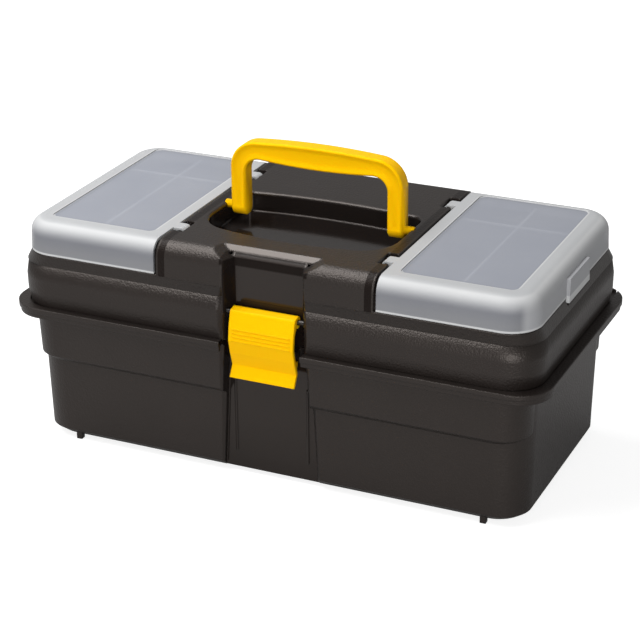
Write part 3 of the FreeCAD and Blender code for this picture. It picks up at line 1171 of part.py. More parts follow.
# Tote tray that stands on the tub's ledges
def make_tote_tray():
    body = new_body("tote_tray")
    foot = band_foot + tub_wall + tray_gap
    top = foot + tray_height
    half_x = tray_length / 2
    half_y = tray_width / 2
    loft(body, "block", [
        oblong(body, "foot_outline", foot, half_x - tray_draft, half_y - tray_draft, tray_corner),
        oblong(body, "top_outline", top, half_x, half_y, tray_corner)])
    inner_foot = foot + tray_wall
    loft(body, "hollow", [
        oblong(body, "hollow_foot", inner_foot, half_x - tray_draft - tray_wall,
               half_y - tray_draft - tray_wall, tray_corner - tray_wall),
        oblong(body, "hollow_top", top + weld, half_x - tray_wall, half_y - tray_wall,
               tray_corner - tray_wall)], cut=True)
    # Set-back front wall round the tub's channel
    back = -(channel_y - tub_wall - tray_notch)
    notch_half = channel_half(foot) + tub_wall + tray_notch
    house = new_sketch(body, "notch_wall_outline", "XY_Plane", foot)
    rectangle(house, -(notch_half + tray_wall), notch_half + tray_wall,
              -(half_y - tray_draft - weld), back + tray_wall)
    pad(body, "notch_wall", house, tray_height)
    notch = new_sketch(body, "notch_outline", "XY_Plane", foot - beyond)
    rectangle(notch, -notch_half, notch_half, -(half_y + beyond), back)
    pocket(body, "notch", notch, tray_height + 2 * beyond, reverse=True)

    # Cross walls and the handle wall along the middle
    for side in (-1, 1):
        tag = "left" if side < 0 else "right"
        wall = new_sketch(body, f"cross_wall_outline_{tag}", "XY_Plane", foot + weld)
        middle = side * tray_cell_x
        reach = half_y - tray_draft - weld
        rectangle(wall, middle - tray_wall / 2, middle + tray_wall / 2, -reach, reach)
        pad(body, f"cross_wall_{tag}", wall, tray_height - tray_cross_drop - weld)
    grip = new_sketch(body, "grip_outline", "XZ_Plane")
    high = top + tray_handle_rise
    reach = tray_handle_half
    corner = tray_handle_corner
    root = top - tray_handle_root
    mid_x = reach - swing * corner
    mid_z = high - swing * corner
    add_outline(grip, [
        (-tray_cell_x, foot + weld), (tray_cell_x, foot + weld), (tray_cell_x, root),
        (reach, high - corner, mid_x, mid_z), (reach - corner, high),
        (-(reach - corner), high, -mid_x, mid_z), (-reach, high - corner), (-tray_cell_x, root)])
    pad(body, "grip", grip, tray_handle_thick, symmetric=True)
    hand = new_sketch(body, "hand_hole_outline", "XZ_Plane")
    side_x = reach - tray_hole_side
    add_rounded(hand, -side_x, side_x, top - tray_hole_drop, high - tray_handle_bar, tray_hole_corner)
    pocket(body, "hand_hole", hand, tray_handle_thick + 2 * beyond, symmetric=True)
    return body


# Dividers of one bin: a long plate with guide ribs, and a short plate on either side of it
def make_dividers(side):
    tag = "left" if side < 0 else "right"
    low = bin_floor + divider_gap
    high = bin_side_top - divider_gap
    bend = bin_top - divider_gap
    slope = high - bend
    reach_y = bin_reach - divider_gap
    long = new_body(f"divider_long_{tag}")
    outline = new_sketch(long, "plate_outline", "YZ_Plane", side * divider_x)
    add_outline(outline, [(-reach_y, low), (reach_y, low), (reach_y, bend), (reach_y - slope, high),
                          (-(reach_y - slope), high), (-reach_y, bend)])
    pad(long, "plate", outline, divider_thick, symmetric=True)
    ribs = new_sketch(long, "rib_outline", "XY_Plane", low)
    near_edge = divider_thick / 2 + divider_gap
    far_edge = near_edge + rib_thick
    x_out = divider_thick / 2 + divider_rib / 2
    for offset in (-1, 1):
        y_low, y_high = in_order(divider_y + offset * near_edge, divider_y + offset * far_edge)
        rectangle(ribs, side * divider_x - x_out, side * divider_x + x_out, y_low, y_high)
    pad(long, "ribs", ribs, bend - low - rib_drop)
    plates = [long]
    gap = divider_thick / 2 + divider_gap
    spans = {"inner": (bin_inner + divider_gap, divider_x - gap, False),
             "outer": (divider_x + gap, bin_far - divider_gap, True)}
    for place, (near_x, far_x, at_end) in spans.items():
        cross = new_body(f"divider_{place}_{tag}")
        outline = new_sketch(cross, "plate_outline", "XZ_Plane", -divider_y)
        a, b = side * near_x, side * far_x
        corners = [(a, low), (b, low)]
        corners += [(b, bend), (b - side * slope, high)] if at_end else [(b, high)]
        add_outline(outline, corners + [(a, high)])
        pad(cross, "plate", outline, divider_thick, symmetric=True)
        plates.append(cross)
    return plates


parts = [make_base_tub(), make_lid_shell()]
parts += [make_cover(-1), make_cover(1)]
parts += [make_handle(), make_front_latch()]
hinge_pin_length = hinge_knuckle + 2 * (hinge_gap + hinge_side - pin_end_gap)
parts.append(make_pin("hinge_pin_left", hinge_pin, -hinge_x, hinge_y, hinge_z, hinge_pin_length))
parts.append(make_pin("hinge_pin_right", hinge_pin, hinge_x, hinge_y, hinge_z, hinge_pin_length))
parts.append(make_pin("latch_pin", latch_pin, 0, -latch_pin_y, latch_pin_z,
                      2 * (latch_pin_half - pin_end_gap)))
parts.append(make_tote_tray())
parts += make_dividers(-1)
parts += make_dividers(1)
doc.recompute()

# Every object has to be sound before anything is written
for item in doc.Objects:
    if "Invalid" in item.State or "Error" in item.State:
        raise RuntimeError(f"{item.Label} is not up to date")
os.makedirs("parts", exist_ok=True)
for part in parts:
    shape = part.Shape
    if shape.isNull() or not shape.isValid():
        raise RuntimeError(f"{part.Label} is not a valid shape")
    solids = len(shape.Solids)
    print(part.Label, "solids", solids, "volume", round(shape.Volume / 1000, 2), "cm3")
    shape.exportStep(f"parts/{part.Label}.step")
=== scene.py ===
# %% [markdown]
# # A tackle box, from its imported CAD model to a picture
#
# The shapes come from the part's CAD model. Blender adds what the eye reads as plastic:
# grain, gloss, frosting, soft light, and a camera that stands where the photographer stood.
# All places are in metres. The box stands on z = 0, its front faces -Y and its length lies along X.

# %% Load the frame
import math
import bmesh
import bpy
from mathutils import Matrix, Vector


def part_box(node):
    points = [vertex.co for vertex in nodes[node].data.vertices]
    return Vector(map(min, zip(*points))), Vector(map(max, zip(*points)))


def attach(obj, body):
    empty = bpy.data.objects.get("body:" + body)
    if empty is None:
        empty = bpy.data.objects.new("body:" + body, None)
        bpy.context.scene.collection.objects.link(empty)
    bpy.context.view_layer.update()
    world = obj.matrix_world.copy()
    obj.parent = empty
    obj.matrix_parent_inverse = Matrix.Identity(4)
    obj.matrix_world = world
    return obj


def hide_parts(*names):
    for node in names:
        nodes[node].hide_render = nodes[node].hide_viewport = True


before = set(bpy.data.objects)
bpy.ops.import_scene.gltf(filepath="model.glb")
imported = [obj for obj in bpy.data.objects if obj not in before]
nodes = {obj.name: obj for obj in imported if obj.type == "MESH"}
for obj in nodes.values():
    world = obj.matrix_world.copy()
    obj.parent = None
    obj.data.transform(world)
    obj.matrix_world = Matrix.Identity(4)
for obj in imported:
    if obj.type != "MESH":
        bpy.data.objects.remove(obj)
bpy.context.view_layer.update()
scene = bpy.context.scene
scene.view_settings.view_transform = "Standard"
millimetre = 0.001

# %% [markdown]
# ## The photographer's place
#
# A product photograph is taken from a few steps away with a long lens, which keeps the sides
# of a box nearly parallel. The camera here looks down at the front right corner. Its place and
# lens were worked out from the corners of the box in the picture, which is 640 pixels square.

# %% Camera
camera_place = Vector((0.4431, -0.9704, 0.5430))
camera_azimuth = math.radians(24.544)
camera_elevation = math.radians(23.827)
camera_roll = math.radians(-0.515)
focal_pixels = 1999.5
picture_pixels = 640

back = Vector((math.sin(camera_azimuth) * math.cos(camera_elevation),
               -math.cos(camera_azimuth) * math.cos(camera_elevation),
               math.sin(camera_elevation)))
level_right = Vector((math.cos(camera_azimuth), math.sin(camera_azimuth), 0))
level_up = back.cross(level_right)
right = level_right * math.cos(camera_roll) + level_up * math.sin(camera_roll)
up = level_up * math.cos(camera_roll) - level_right * math.sin(camera_roll)
turn = Matrix((right, up, back)).transposed().to_4x4()

camera_data = bpy.data.cameras.new("photo_camera")
camera_data.sensor_width = 36
camera_data.lens = focal_pixels / picture_pixels * camera_data.sensor_width
camera = bpy.data.objects.new("photo_camera", camera_data)
camera.matrix_world = Matrix.Translation(camera_place) @ turn
scene.collection.objects.link(camera)
scene.camera = camera
print("camera lens", round(camera_data.lens, 1), "mm")

# %% [markdown]
# ## Small helpers for shader nodes
#
# A finish is a small network of nodes. These helpers keep each one readable: `add` makes a node
# and sets its inputs, `wire` joins two sockets, `soft_step` and `between` make masks with soft
# edges, and `blend_range` and `colour_between` spread a share from 0 to 1 over a range. Patterns
# are read from Object coordinates, so they stay on the piece when it moves and come out at their
# real size. Heights near the deck are counted down from its top, which lid and covers share.

# %% Shader helpers
deck_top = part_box("lid_shell")[1][2]


def add(tree, kind, settings=None, **values):
    """Makes a node. settings are its properties, values its inputs by name with _ for a space."""
    node = tree.nodes.new(kind)
    for key, value in (settings or {}).items():
        setattr(node, key, value)
    for key, value in values.items():
        node.inputs[key.replace("_", " ")].default_value = value
    return node


def wire(tree, source, target):
    """Joins an output to an input."""
    tree.links.new(source, target)


def calculate(tree, operation, *parts):
    """A Math node on numbers and sockets, given in order."""
    node = tree.nodes.new("ShaderNodeMath")
    node.operation = operation
    for index, part in enumerate(parts):
        if isinstance(part, (int, float)):
            node.inputs[index].default_value = part
        else:
            tree.links.new(part, node.inputs[index])
    return node.outputs[0]


def inverse(tree, share):
    """1 minus a share."""
    return calculate(tree, "SUBTRACT", 1.0, share)


def soft_step(tree, value, start, end):
    """0 below start and 1 above end, with a smooth change between them."""
    node = tree.nodes.new("ShaderNodeMapRange")
    node.interpolation_type = "SMOOTHSTEP"
    tree.links.new(value, node.inputs["Value"])
    node.inputs["From Min"].default_value = start
    node.inputs["From Max"].default_value = end
    return node.outputs["Result"]


def between(tree, value, low, high, soft):
    """1 where value lies between low and high, falling to 0 over soft on either side."""
    rise = soft_step(tree, value, low - soft, low)
    fall = soft_step(tree, value, high, high + soft)
    return calculate(tree, "MULTIPLY", rise, inverse(tree, fall))


def blend_range(tree, share, low, high):
    """A value that goes from low to high as share goes from 0 to 1."""
    node = tree.nodes.new("ShaderNodeMapRange")
    tree.links.new(share, node.inputs["Value"])
    node.inputs["To Min"].default_value = low
    node.inputs["To Max"].default_value = high
    return node.outputs["Result"]


def below_deck(depth):
    """The height that lies this many millimetres below the deck's top."""
    return deck_top - depth * millimetre


def start_material(name):
    """A material with an empty tree, its main shader, its Object coordinates and their axes."""
    material = bpy.data.materials.new(name)
    material.use_nodes = True
    tree = material.node_tree
    tree.nodes.clear()
    output = tree.nodes.new("ShaderNodeOutputMaterial")
    plastic = tree.nodes.new("ShaderNodeBsdfPrincipled")
    place = tree.nodes.new("ShaderNodeTexCoord").outputs["Object"]
    tree.links.new(plastic.outputs["BSDF"], output.inputs["Surface"])
    axes = tree.nodes.new("ShaderNodeSeparateXYZ")
    tree.links.new(place, axes.inputs["Vector"])
    return material, tree, plastic, place, axes.outputs


def colour_between(tree, share, dark, light):
    """A colour that goes from dark to light as share goes from 0 to 1."""
    mix = tree.nodes.new("ShaderNodeMix")
    mix.data_type = "RGBA"
    mix.inputs[6].default_value = (*dark, 1)
    mix.inputs[7].default_value = (*light, 1)
    tree.links.new(share, mix.inputs["Factor"])
    return mix.outputs[2]


def mix_colours(tree, share, first, second):
    """first where share is 0 and second where it is 1, both colour sockets."""
    mix = tree.nodes.new("ShaderNodeMix")
    mix.data_type = "RGBA"
    wire(tree, first, mix.inputs[6])
    wire(tree, second, mix.inputs[7])
    wire(tree, share, mix.inputs["Factor"])
    return mix.outputs[2]


def mix_values(tree, share, first, second):
    """first where share is 0 and second where it is 1, each a number or a socket."""
    mix = tree.nodes.new("ShaderNodeMix")
    for index, value in ((2, first), (3, second)):
        if isinstance(value, (int, float)):
            mix.inputs[index].default_value = value
        else:
            wire(tree, value, mix.inputs[index])
    wire(tree, share, mix.inputs["Factor"])
    return mix.outputs[0]


print("the deck's top lies at", round(deck_top, 4))

# %% [markdown]
# ## Black shell: grained polypropylene
#
# The lid and the tub are injection moulded in black polypropylene. Their moulds are etched, so
# the plastic comes out with a fine leather grain that breaks up its reflections. Where the mould
# was left polished the plastic is glossy: in the handle's well, in the recess for the latch, and
# in the channel below it. One material does both: a mask by place tells the polished areas from
# the grained ones, and it lowers the grain and the roughness together.

# %% Black plastic
def leather_grain(tree, place, cell):
    """Height of an etched grain: rounded cells of about this size, unevenly deep."""
    cells = add(tree, "ShaderNodeTexVoronoi", {"feature": "SMOOTH_F1"}, Scale=1 / cell, Smoothness=0.6)
    folds = add(tree, "ShaderNodeTexNoise", Scale=0.7 / cell, Detail=2.0, Roughness=0.5)
    wire(tree, place, cells.inputs["Vector"])
    wire(tree, place, folds.inputs["Vector"])
    return calculate(tree, "ADD", cells.outputs["Distance"],
                     calculate(tree, "MULTIPLY", folds.outputs["Fac"], 0.6))


def soft_edges(tree, radius):
    """The surface's direction with its edges rounded over this radius, as a mould leaves them."""
    return add(tree, "ShaderNodeBevel", {"samples": 6}, Radius=radius).outputs["Normal"]


def black_plastic(name, polished, edge, relief=None, shaded=None):
    """polished and shaded give masks of areas by place, edge is the radius of the edges, and
    relief a moulded height in millimetres."""
    grain_cell, grain_depth = 1.1 * millimetre, 0.14 * millimetre
    deep_black, worn_black = (0.0085, 0.0062, 0.0054), (0.0130, 0.0098, 0.0086)
    warm_glint, shaded_glint = (1.0, 0.90, 0.84), (0.12, 0.10, 0.09)
    grained_roughness, polished_roughness = 0.42, 0.12
    material, tree, plastic, place, axes = start_material(name)
    grain = leather_grain(tree, place, grain_cell)
    cloud = add(tree, "ShaderNodeTexNoise", Scale=28.0, Detail=2.0)
    wire(tree, place, cloud.inputs["Vector"])
    shade = colour_between(tree, cloud.outputs["Fac"], deep_black, worn_black)
    wire(tree, shade, plastic.inputs["Base Color"])
    mask = polished(tree, axes)
    rough = blend_range(tree, mask, grained_roughness, polished_roughness)
    wire(tree, rough, plastic.inputs["Roughness"])
    bump = add(tree, "ShaderNodeBump", Distance=grain_depth)
    wire(tree, grain, bump.inputs["Height"])
    wire(tree, blend_range(tree, mask, 1.0, 0.02), bump.inputs["Strength"])
    form = soft_edges(tree, edge)
    if relief:
        moulded = add(tree, "ShaderNodeBump", Strength=1.0, Distance=1.0 * millimetre)
        height = calculate(tree, "MULTIPLY", relief(tree, axes), inverse(tree, mask))
        wire(tree, height, moulded.inputs["Height"])
        wire(tree, form, moulded.inputs["Normal"])
        form = moulded.outputs["Normal"]
    wire(tree, form, bump.inputs["Normal"])
    wire(tree, bump.outputs["Normal"], plastic.inputs["Normal"])
    plastic.inputs["Specular Tint"].default_value = (*warm_glint, 1)
    if shaded:
        glint = colour_between(tree, shaded(tree, axes), warm_glint, shaded_glint)
        wire(tree, glint, plastic.inputs["Specular Tint"])
    plastic.inputs["IOR"].default_value = 1.49
    plastic.inputs["Specular IOR Level"].default_value = 0.5
    return material


# %% [markdown]
# ## Where the shells are polished
#
# The well and the recess are cut into the deck, and the channel runs down the tub's front. Their
# outlines in plan and height are the masks.

# %% Polished areas
def polished_on_lid(tree, axes):
    """The handle's well, and the recess with the bevel that leads down to it from the deck."""
    well_front, well_back, well_half = -0.0462, 0.0232, 0.0578
    well_depth, well_lip, well_edge = 13.3, 0.4, 0.0001
    recess_back, panel_front, panel_half = 0.0605, 0.0664, 0.0212
    side_flare, bevel_flare, bevel_depth = 0.417, 0.0093, 5.0
    slope_drop, slope_reach = 0.91, 0.1936
    across = calculate(tree, "ABSOLUTE", axes["X"])
    forward = calculate(tree, "MULTIPLY", axes["Y"], -1.0)
    well = calculate(tree, "MULTIPLY",
                     between(tree, axes["Z"], below_deck(well_depth), below_deck(well_lip), well_edge),
                     between(tree, axes["Y"], well_front, well_back, well_edge))
    well = calculate(tree, "MULTIPLY", well, calculate(tree, "LESS_THAN", across, well_half))
    ahead = calculate(tree, "SUBTRACT", forward, panel_front)
    low_half = calculate(tree, "MULTIPLY_ADD", ahead, side_flare, panel_half)
    rise = soft_step(tree, axes["Z"], below_deck(bevel_depth), deck_top)
    half = calculate(tree, "MULTIPLY_ADD", rise, bevel_flare, low_half)
    recess = calculate(tree, "MULTIPLY", calculate(tree, "LESS_THAN", across, half),
                       calculate(tree, "GREATER_THAN", forward, recess_back))
    along_slope = calculate(tree, "MULTIPLY_ADD", forward, slope_drop, axes["Z"])
    recess = calculate(tree, "MULTIPLY", recess,
                       calculate(tree, "LESS_THAN", along_slope, slope_reach))
    return calculate(tree, "MAXIMUM", well, recess)


def polished_on_tub(tree, axes):
    """The channel behind and below the latch, which narrows on its way up."""
    channel_foot_half, channel_taper, channel_back = 0.0300, 0.0575, -0.0640
    across = calculate(tree, "ABSOLUTE", axes["X"])
    half = calculate(tree, "MULTIPLY_ADD", axes["Z"], -channel_taper, channel_foot_half)
    channel = calculate(tree, "LESS_THAN", across, half)
    return calculate(tree, "MULTIPLY", channel, calculate(tree, "LESS_THAN", axes["Y"], channel_back))


# %% [markdown]
# ## The lid's shoulder and its shade
#
# The lid's skirt rolls inward to its shoulder, and a shallow hollow runs above the shoulder's
# edge. A height by place gives that, under the grain. Another mask dims the reflections in
# corners that little light reaches.

# %% Shoulder and shade
def rising(tree, value, start, end):
    """0 at start and 1 at end, in a straight line between them."""
    share = calculate(tree, "MULTIPLY_ADD", value, 1 / (end - start), -start / (end - start))
    return calculate(tree, "MINIMUM", calculate(tree, "MAXIMUM", share, 0.0), 1.0)


def shoulder_relief(tree, axes):
    """The skirt rolls inward to its shoulder, and a shallow hollow runs above the shoulder's edge."""
    roll_start, shoulder_edge, hollow_end = 0.1040, 0.1124, 0.1180
    relief_depth = 3.0
    roll = rising(tree, axes["Z"], roll_start, shoulder_edge)
    hollow = rising(tree, axes["Z"], shoulder_edge, hollow_end)
    inward = calculate(tree, "MULTIPLY", calculate(tree, "MULTIPLY", roll, roll), -relief_depth)
    return calculate(tree, "MULTIPLY_ADD", hollow, relief_depth, inward)


def shade_on_lid(tree, axes):
    """Places where little light comes in: the recess's upper panel and side walls, and the
    deck's edges beside the covers."""
    panel_half, panel_back = 0.0212, -0.0641
    panel_low, panel_high, panel_soft = 0.1285, 0.1346, 0.0012
    wall_near, wall_far, wall_front, wall_back, wall_low = 0.0206, 0.0262, -0.0747, -0.0664, 0.1020
    deck_edge, deck_end, shelf_top = 0.0602, 0.0640, 0.1180
    wall_soft, deck_soft = 0.0003, 0.0004
    across = calculate(tree, "ABSOLUTE", axes["X"])
    panel = calculate(tree, "MULTIPLY", calculate(tree, "LESS_THAN", across, panel_half),
                      calculate(tree, "LESS_THAN", axes["Y"], panel_back))
    panel = calculate(tree, "MULTIPLY", panel,
                      between(tree, axes["Z"], panel_low, panel_high, panel_soft))
    walls = calculate(tree, "MULTIPLY", between(tree, across, wall_near, wall_far, wall_soft),
                      between(tree, axes["Y"], wall_front, wall_back, wall_soft))
    walls = calculate(tree, "MULTIPLY", walls, calculate(tree, "GREATER_THAN", axes["Z"], wall_low))
    edges = calculate(tree, "MULTIPLY", between(tree, across, deck_edge, deck_end, deck_soft),
                      calculate(tree, "GREATER_THAN", axes["Z"], shelf_top))
    return calculate(tree, "MAXIMUM", calculate(tree, "MAXIMUM", panel, walls), edges)


# %% [markdown]
# ## Dressing the shells
#
# The lid's edges are rounder than the tub's. A finish goes on a whole CAD piece at once.

# %% Dress the shells
def dress(node, material):
    """Gives a CAD node its finish: one material for the whole node."""
    mesh = nodes[node].data
    mesh.materials.clear()
    mesh.materials.append(material)


lid_black = black_plastic("lid_black_grain", polished_on_lid, 1.8 * millimetre, shoulder_relief,
                          shade_on_lid)
tub_black = black_plastic("tub_black_grain", polished_on_tub, 1.2 * millimetre)
dress("lid_shell", lid_black)
dress("base_tub", tub_black)
print("black shells:", lid_black.name, tub_black.name)

# %% [markdown]
# ## Tote tray: smooth dark plastic
#
# The tray stands inside the tub and only shows when the lid is open. It is plain dark grey
# polypropylene with a satin surface, a little lighter than the shells.

# %% Tote tray
def satin_plastic(name, dark, light, roughness, cell, depth):
    """Satin moulded plastic: a faint cloudy colour and a very fine surface texture."""
    edge = 1.2 * millimetre
    material, tree, plastic, place, _ = start_material(name)
    cloud = add(tree, "ShaderNodeTexNoise", Scale=30.0, Detail=3.0, Roughness=0.55)
    fine = add(tree, "ShaderNodeTexNoise", Scale=1 / cell, Detail=2.0)
    wire(tree, place, cloud.inputs["Vector"])
    wire(tree, place, fine.inputs["Vector"])
    wire(tree, colour_between(tree, cloud.outputs["Fac"], dark, light), plastic.inputs["Base Color"])
    wire(tree, blend_range(tree, fine.outputs["Fac"], roughness - 0.05, roughness + 0.05),
         plastic.inputs["Roughness"])
    bump = add(tree, "ShaderNodeBump", Strength=1.0, Distance=depth)
    wire(tree, fine.outputs["Fac"], bump.inputs["Height"])
    wire(tree, soft_edges(tree, edge), bump.inputs["Normal"])
    wire(tree, bump.outputs["Normal"], plastic.inputs["Normal"])
    plastic.inputs["IOR"].default_value = 1.49
    return material, plastic


tray_grey, _ = satin_plastic("tray_dark_grey", dark=(0.024, 0.024, 0.025), light=(0.034, 0.034, 0.035),
                             roughness=0.42, cell=0.5 * millimetre, depth=0.01 * millimetre)
dress("tote_tray", tray_grey)
print("tray:", tray_grey.name)

# %% [markdown]
# ## Yellow handle and latch
#
# Both are moulded in the same yellow polypropylene, with a satin surface. Light goes a little
# way into such plastic before it comes out again, which is what makes its shadows warm and
# orange. A small amount of subsurface scattering gives that.

# %% Yellow parts
yellow, yellow_plastic = satin_plastic("yellow_satin", dark=(0.93, 0.49, 0.001),
                                       light=(0.98, 0.55, 0.002), roughness=0.40,
                                       cell=0.6 * millimetre, depth=0.012 * millimetre)
yellow_plastic.inputs["Specular IOR Level"].default_value = 0.15
yellow_plastic.inputs["Specular Tint"].default_value = (1.0, 0.7, 0.05, 1)
yellow_plastic.inputs["Subsurface Weight"].default_value = 0.15
yellow_plastic.inputs["Subsurface Radius"].default_value = (1.0, 0.35, 0.05)
yellow_plastic.inputs["Subsurface Scale"].default_value = 1.5 * millimetre
dress("front_latch", yellow)
print("latch:", yellow.name)

# %% [markdown]
# ## The handle's dished faces
#
# The grip and the legs aren't flat bars: their front and back faces are dished, so that a rim
# stands round them, and the hollow goes from shade under the upper rim to light on the lower one.
# The CAD handle is a plain bar. Its mesh is copied, the loose triangles are joined, and the
# two large faces are inset ring by ring, each ring a little deeper than the one before.

# %% Dished handle
def largest_face(mesh, side):
    """The largest face that looks to the front (side -1) or to the back (side 1)."""
    facing = [face for face in mesh.faces if face.normal.y * side > 0.999]
    return max(facing, key=lambda face: face.calc_area())


# Width and depth of each ring in millimetres, from the rim inwards
dish_rings = ((0.5, 0.06), (0.7, 0.50), (0.8, 0.38), (0.8, 0.22), (0.5, 0.06))
flat_within = math.radians(0.6)
sharp_from = math.radians(32)

bar = bmesh.new()
bar.from_mesh(nodes["handle"].data)
bmesh.ops.remove_doubles(bar, verts=bar.verts, dist=0.001 * millimetre)
bmesh.ops.dissolve_limit(bar, angle_limit=flat_within, verts=bar.verts, edges=bar.edges)
for side in (-1, 1):
    face = largest_face(bar, side)
    print("handle face of", round(face.calc_area() * 1e6), "mm2 with", len(face.verts), "corners")
    for width, depth in dish_rings:
        bmesh.ops.inset_region(bar, faces=[face], thickness=width * millimetre,
                               depth=-depth * millimetre, use_even_offset=True)
bmesh.ops.triangulate(bar, faces=[face for face in bar.faces if len(face.verts) > 4])
dished_mesh = bpy.data.meshes.new("handle_dished")
bar.to_mesh(dished_mesh)
bar.free()
dished_mesh.shade_smooth()
dished_mesh.set_sharp_from_angle(angle=sharp_from)
dished_mesh.materials.append(yellow)
dished_handle = bpy.data.objects.new("handle_dished", dished_mesh)
scene.collection.objects.link(dished_handle)
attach(dished_handle, "carry_handle")
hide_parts("handle")
print("dished handle:", len(dished_mesh.polygons), "faces")

# %% [markdown]
# ## Frosted covers and dividers
#
# The covers are natural polypropylene, which is milky: part of the light goes straight through
# and the rest is scattered. A see-through share of the surface gives that. The thin sunk window
# is the clearest, and the rounded rim is the whitest because the light crosses more plastic there; a
# painted highlight on the rim's rounding makes it whiter still.

# %% Frosted plastic
def frosted_plastic(name):
    """The base of both frosted finishes; colour and alpha are still to be wired."""
    material, tree, plastic, place, axes = start_material(name)
    fine = add(tree, "ShaderNodeTexNoise", Scale=1600.0, Detail=1.0)
    wire(tree, place, fine.inputs["Vector"])
    bump = add(tree, "ShaderNodeBump", Strength=1.0, Distance=0.008 * millimetre)
    wire(tree, fine.outputs["Fac"], bump.inputs["Height"])
    wire(tree, soft_edges(tree, 0.8 * millimetre), bump.inputs["Normal"])
    wire(tree, bump.outputs["Normal"], plastic.inputs["Normal"])
    plastic.inputs["Roughness"].default_value = 0.52
    plastic.inputs["Specular IOR Level"].default_value = 0.3
    plastic.inputs["IOR"].default_value = 1.49
    cloud = add(tree, "ShaderNodeTexNoise", Scale=30.0, Detail=3.0)
    wire(tree, place, cloud.inputs["Vector"])
    return material, tree, plastic, axes, cloud.outputs["Fac"]


# %% [markdown]
# ## Covers
#
# The window has rounded corners and a thin edge with a painted highlight line. The black bins show
# through the side walls, so these are darker, and the end walls lie in between, painted lighter for
# the light that shines through them. A thin painted highlight line runs along the covers' lower edge.

# %% Covers
def rounded_window(tree, across, along):
    """Masks of the sunk window, a rectangle with rounded corners, and of the thin edge round it, where
    a painted highlight line goes.
    """
    middle_x, half_x = 0.10725, 0.03275
    middle_y, half_y = 0.0024, 0.0634
    corner = 0.0050
    soft = 0.0004
    outs = []
    for value, middle, half in ((across, middle_x, half_x), (along, middle_y, half_y)):
        from_middle = calculate(tree, "ABSOLUTE", calculate(tree, "SUBTRACT", value, middle))
        past_round = calculate(tree, "SUBTRACT", from_middle, half - corner)
        outs.append(calculate(tree, "MAXIMUM", past_round, 0.0))
    squares = [calculate(tree, "MULTIPLY", out, out) for out in outs]
    reach = calculate(tree, "SQRT", calculate(tree, "ADD", *squares))
    inside = inverse(tree, soft_step(tree, reach, corner - soft, corner + soft))
    edge = between(tree, reach, corner, corner + 2 * soft, soft)
    return inside, edge


def cover_frosting():
    """A clear window, a whitish rim round it, darker side walls and end walls painted lighter for light
    shining through them; painted highlights lie on the rim's rounding, the window's edge and the lower
    edge.
    """
    step_to_window, rim_start, rim_full, top_start = 2.0, 9.3, 0.2, 1.2
    foot_fade, foot_line, edge_full, edge_clear = 8.8, 16.3, 18.0, 17.4
    end_start, end_full = 0.1455, 0.1495
    side_share, rim_share, window_share = 0.80, 0.96, 0.55
    material, tree, plastic, axes, cloud = frosted_plastic("cover_frosted")
    across = calculate(tree, "ABSOLUTE", axes["X"])
    flat = calculate(tree, "GREATER_THAN", axes["Z"], below_deck(step_to_window))
    inside, window_edge_highlight = rounded_window(tree, across, axes["Y"])
    window = calculate(tree, "MULTIPLY", inside, flat)
    upper = soft_step(tree, axes["Z"], below_deck(rim_start), below_deck(rim_full))
    # painted highlight: a thin bright line along the covers' lower edge
    foot_edge_highlight = inverse(tree, soft_step(tree, axes["Z"], below_deck(edge_full), below_deck(edge_clear)))
    white = calculate(tree, "MAXIMUM", upper, foot_edge_highlight)
    lower = inverse(tree, soft_step(tree, axes["Z"], below_deck(foot_line), below_deck(foot_fade)))
    end = soft_step(tree, across, end_start, end_full)
    # the rim's rounding and the window's edge take the crest colour, a painted highlight
    level = calculate(tree, "MULTIPLY",
                      soft_step(tree, axes["Z"], below_deck(top_start), below_deck(rim_full)),
                      inverse(tree, window_edge_highlight))
    band = colour_between(tree, cloud, (0.225, 0.231, 0.255), (0.246, 0.252, 0.273))
    foot = colour_between(tree, cloud, (0.250, 0.254, 0.272), (0.275, 0.279, 0.292))
    # painted light: the end walls are made lighter, standing in for light that shines through them
    end_wall_painted_light = colour_between(tree, cloud, (0.440, 0.445, 0.465), (0.480, 0.485, 0.500))
    # crest colour: the rounding's whiter plastic, brightened further by a painted highlight
    crest_with_painted_highlight = colour_between(tree, cloud, (0.545, 0.550, 0.555), (0.590, 0.594, 0.596))
    top = colour_between(tree, cloud, (0.430, 0.439, 0.450), (0.475, 0.480, 0.486))
    pane = colour_between(tree, cloud, (0.400, 0.420, 0.480), (0.460, 0.478, 0.530))
    side = mix_colours(tree, end, mix_colours(tree, lower, band, foot), end_wall_painted_light)
    rim = mix_colours(tree, level, crest_with_painted_highlight, top)
    shade = mix_colours(tree, window, mix_colours(tree, white, side, rim), pane)
    wire(tree, shade, plastic.inputs["Base Color"])
    solid_share = mix_values(tree, white, side_share, rim_share)
    wire(tree, mix_values(tree, window, solid_share, window_share), plastic.inputs["Alpha"])
    return material


cover_frost = cover_frosting()
for node in ("cover_left", "cover_right"):
    dress(node, cover_frost)
print("covers:", cover_frost.name)

# %% [markdown]
# ## Dividers
#
# The dividers are clear plates that hardly show, except for their cut upper edge.

# %% Dividers
def divider_frosting():
    """Clear plates whose cut upper edge catches the light."""
    edge_depth, edge_soft, face_share = 0.8 * millimetre, 0.2 * millimetre, 0.22
    material, tree, plastic, axes, cloud = frosted_plastic("divider_frosted")
    edge_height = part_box("divider_long_left")[1][2] - edge_depth
    milky = colour_between(tree, cloud, (0.86, 0.88, 0.89), (0.92, 0.93, 0.93))
    wire(tree, milky, plastic.inputs["Base Color"])
    edge = soft_step(tree, axes["Z"], edge_height - edge_soft, edge_height)
    wire(tree, mix_values(tree, edge, face_share, 1.0), plastic.inputs["Alpha"])
    return material


divider_frost = divider_frosting()
dividers = [node for node in sorted(nodes) if node.startswith("divider_")]
for node in dividers:
    dress(node, divider_frost)
print("dividers:", len(dividers))

# %% [markdown]
# ## Steel pins
#
# The latch and the lid turn on dark steel wire. Drawn wire has fine lines along its length,
# so the noise that varies its roughness is stretched along X, which is the way all three pins lie.

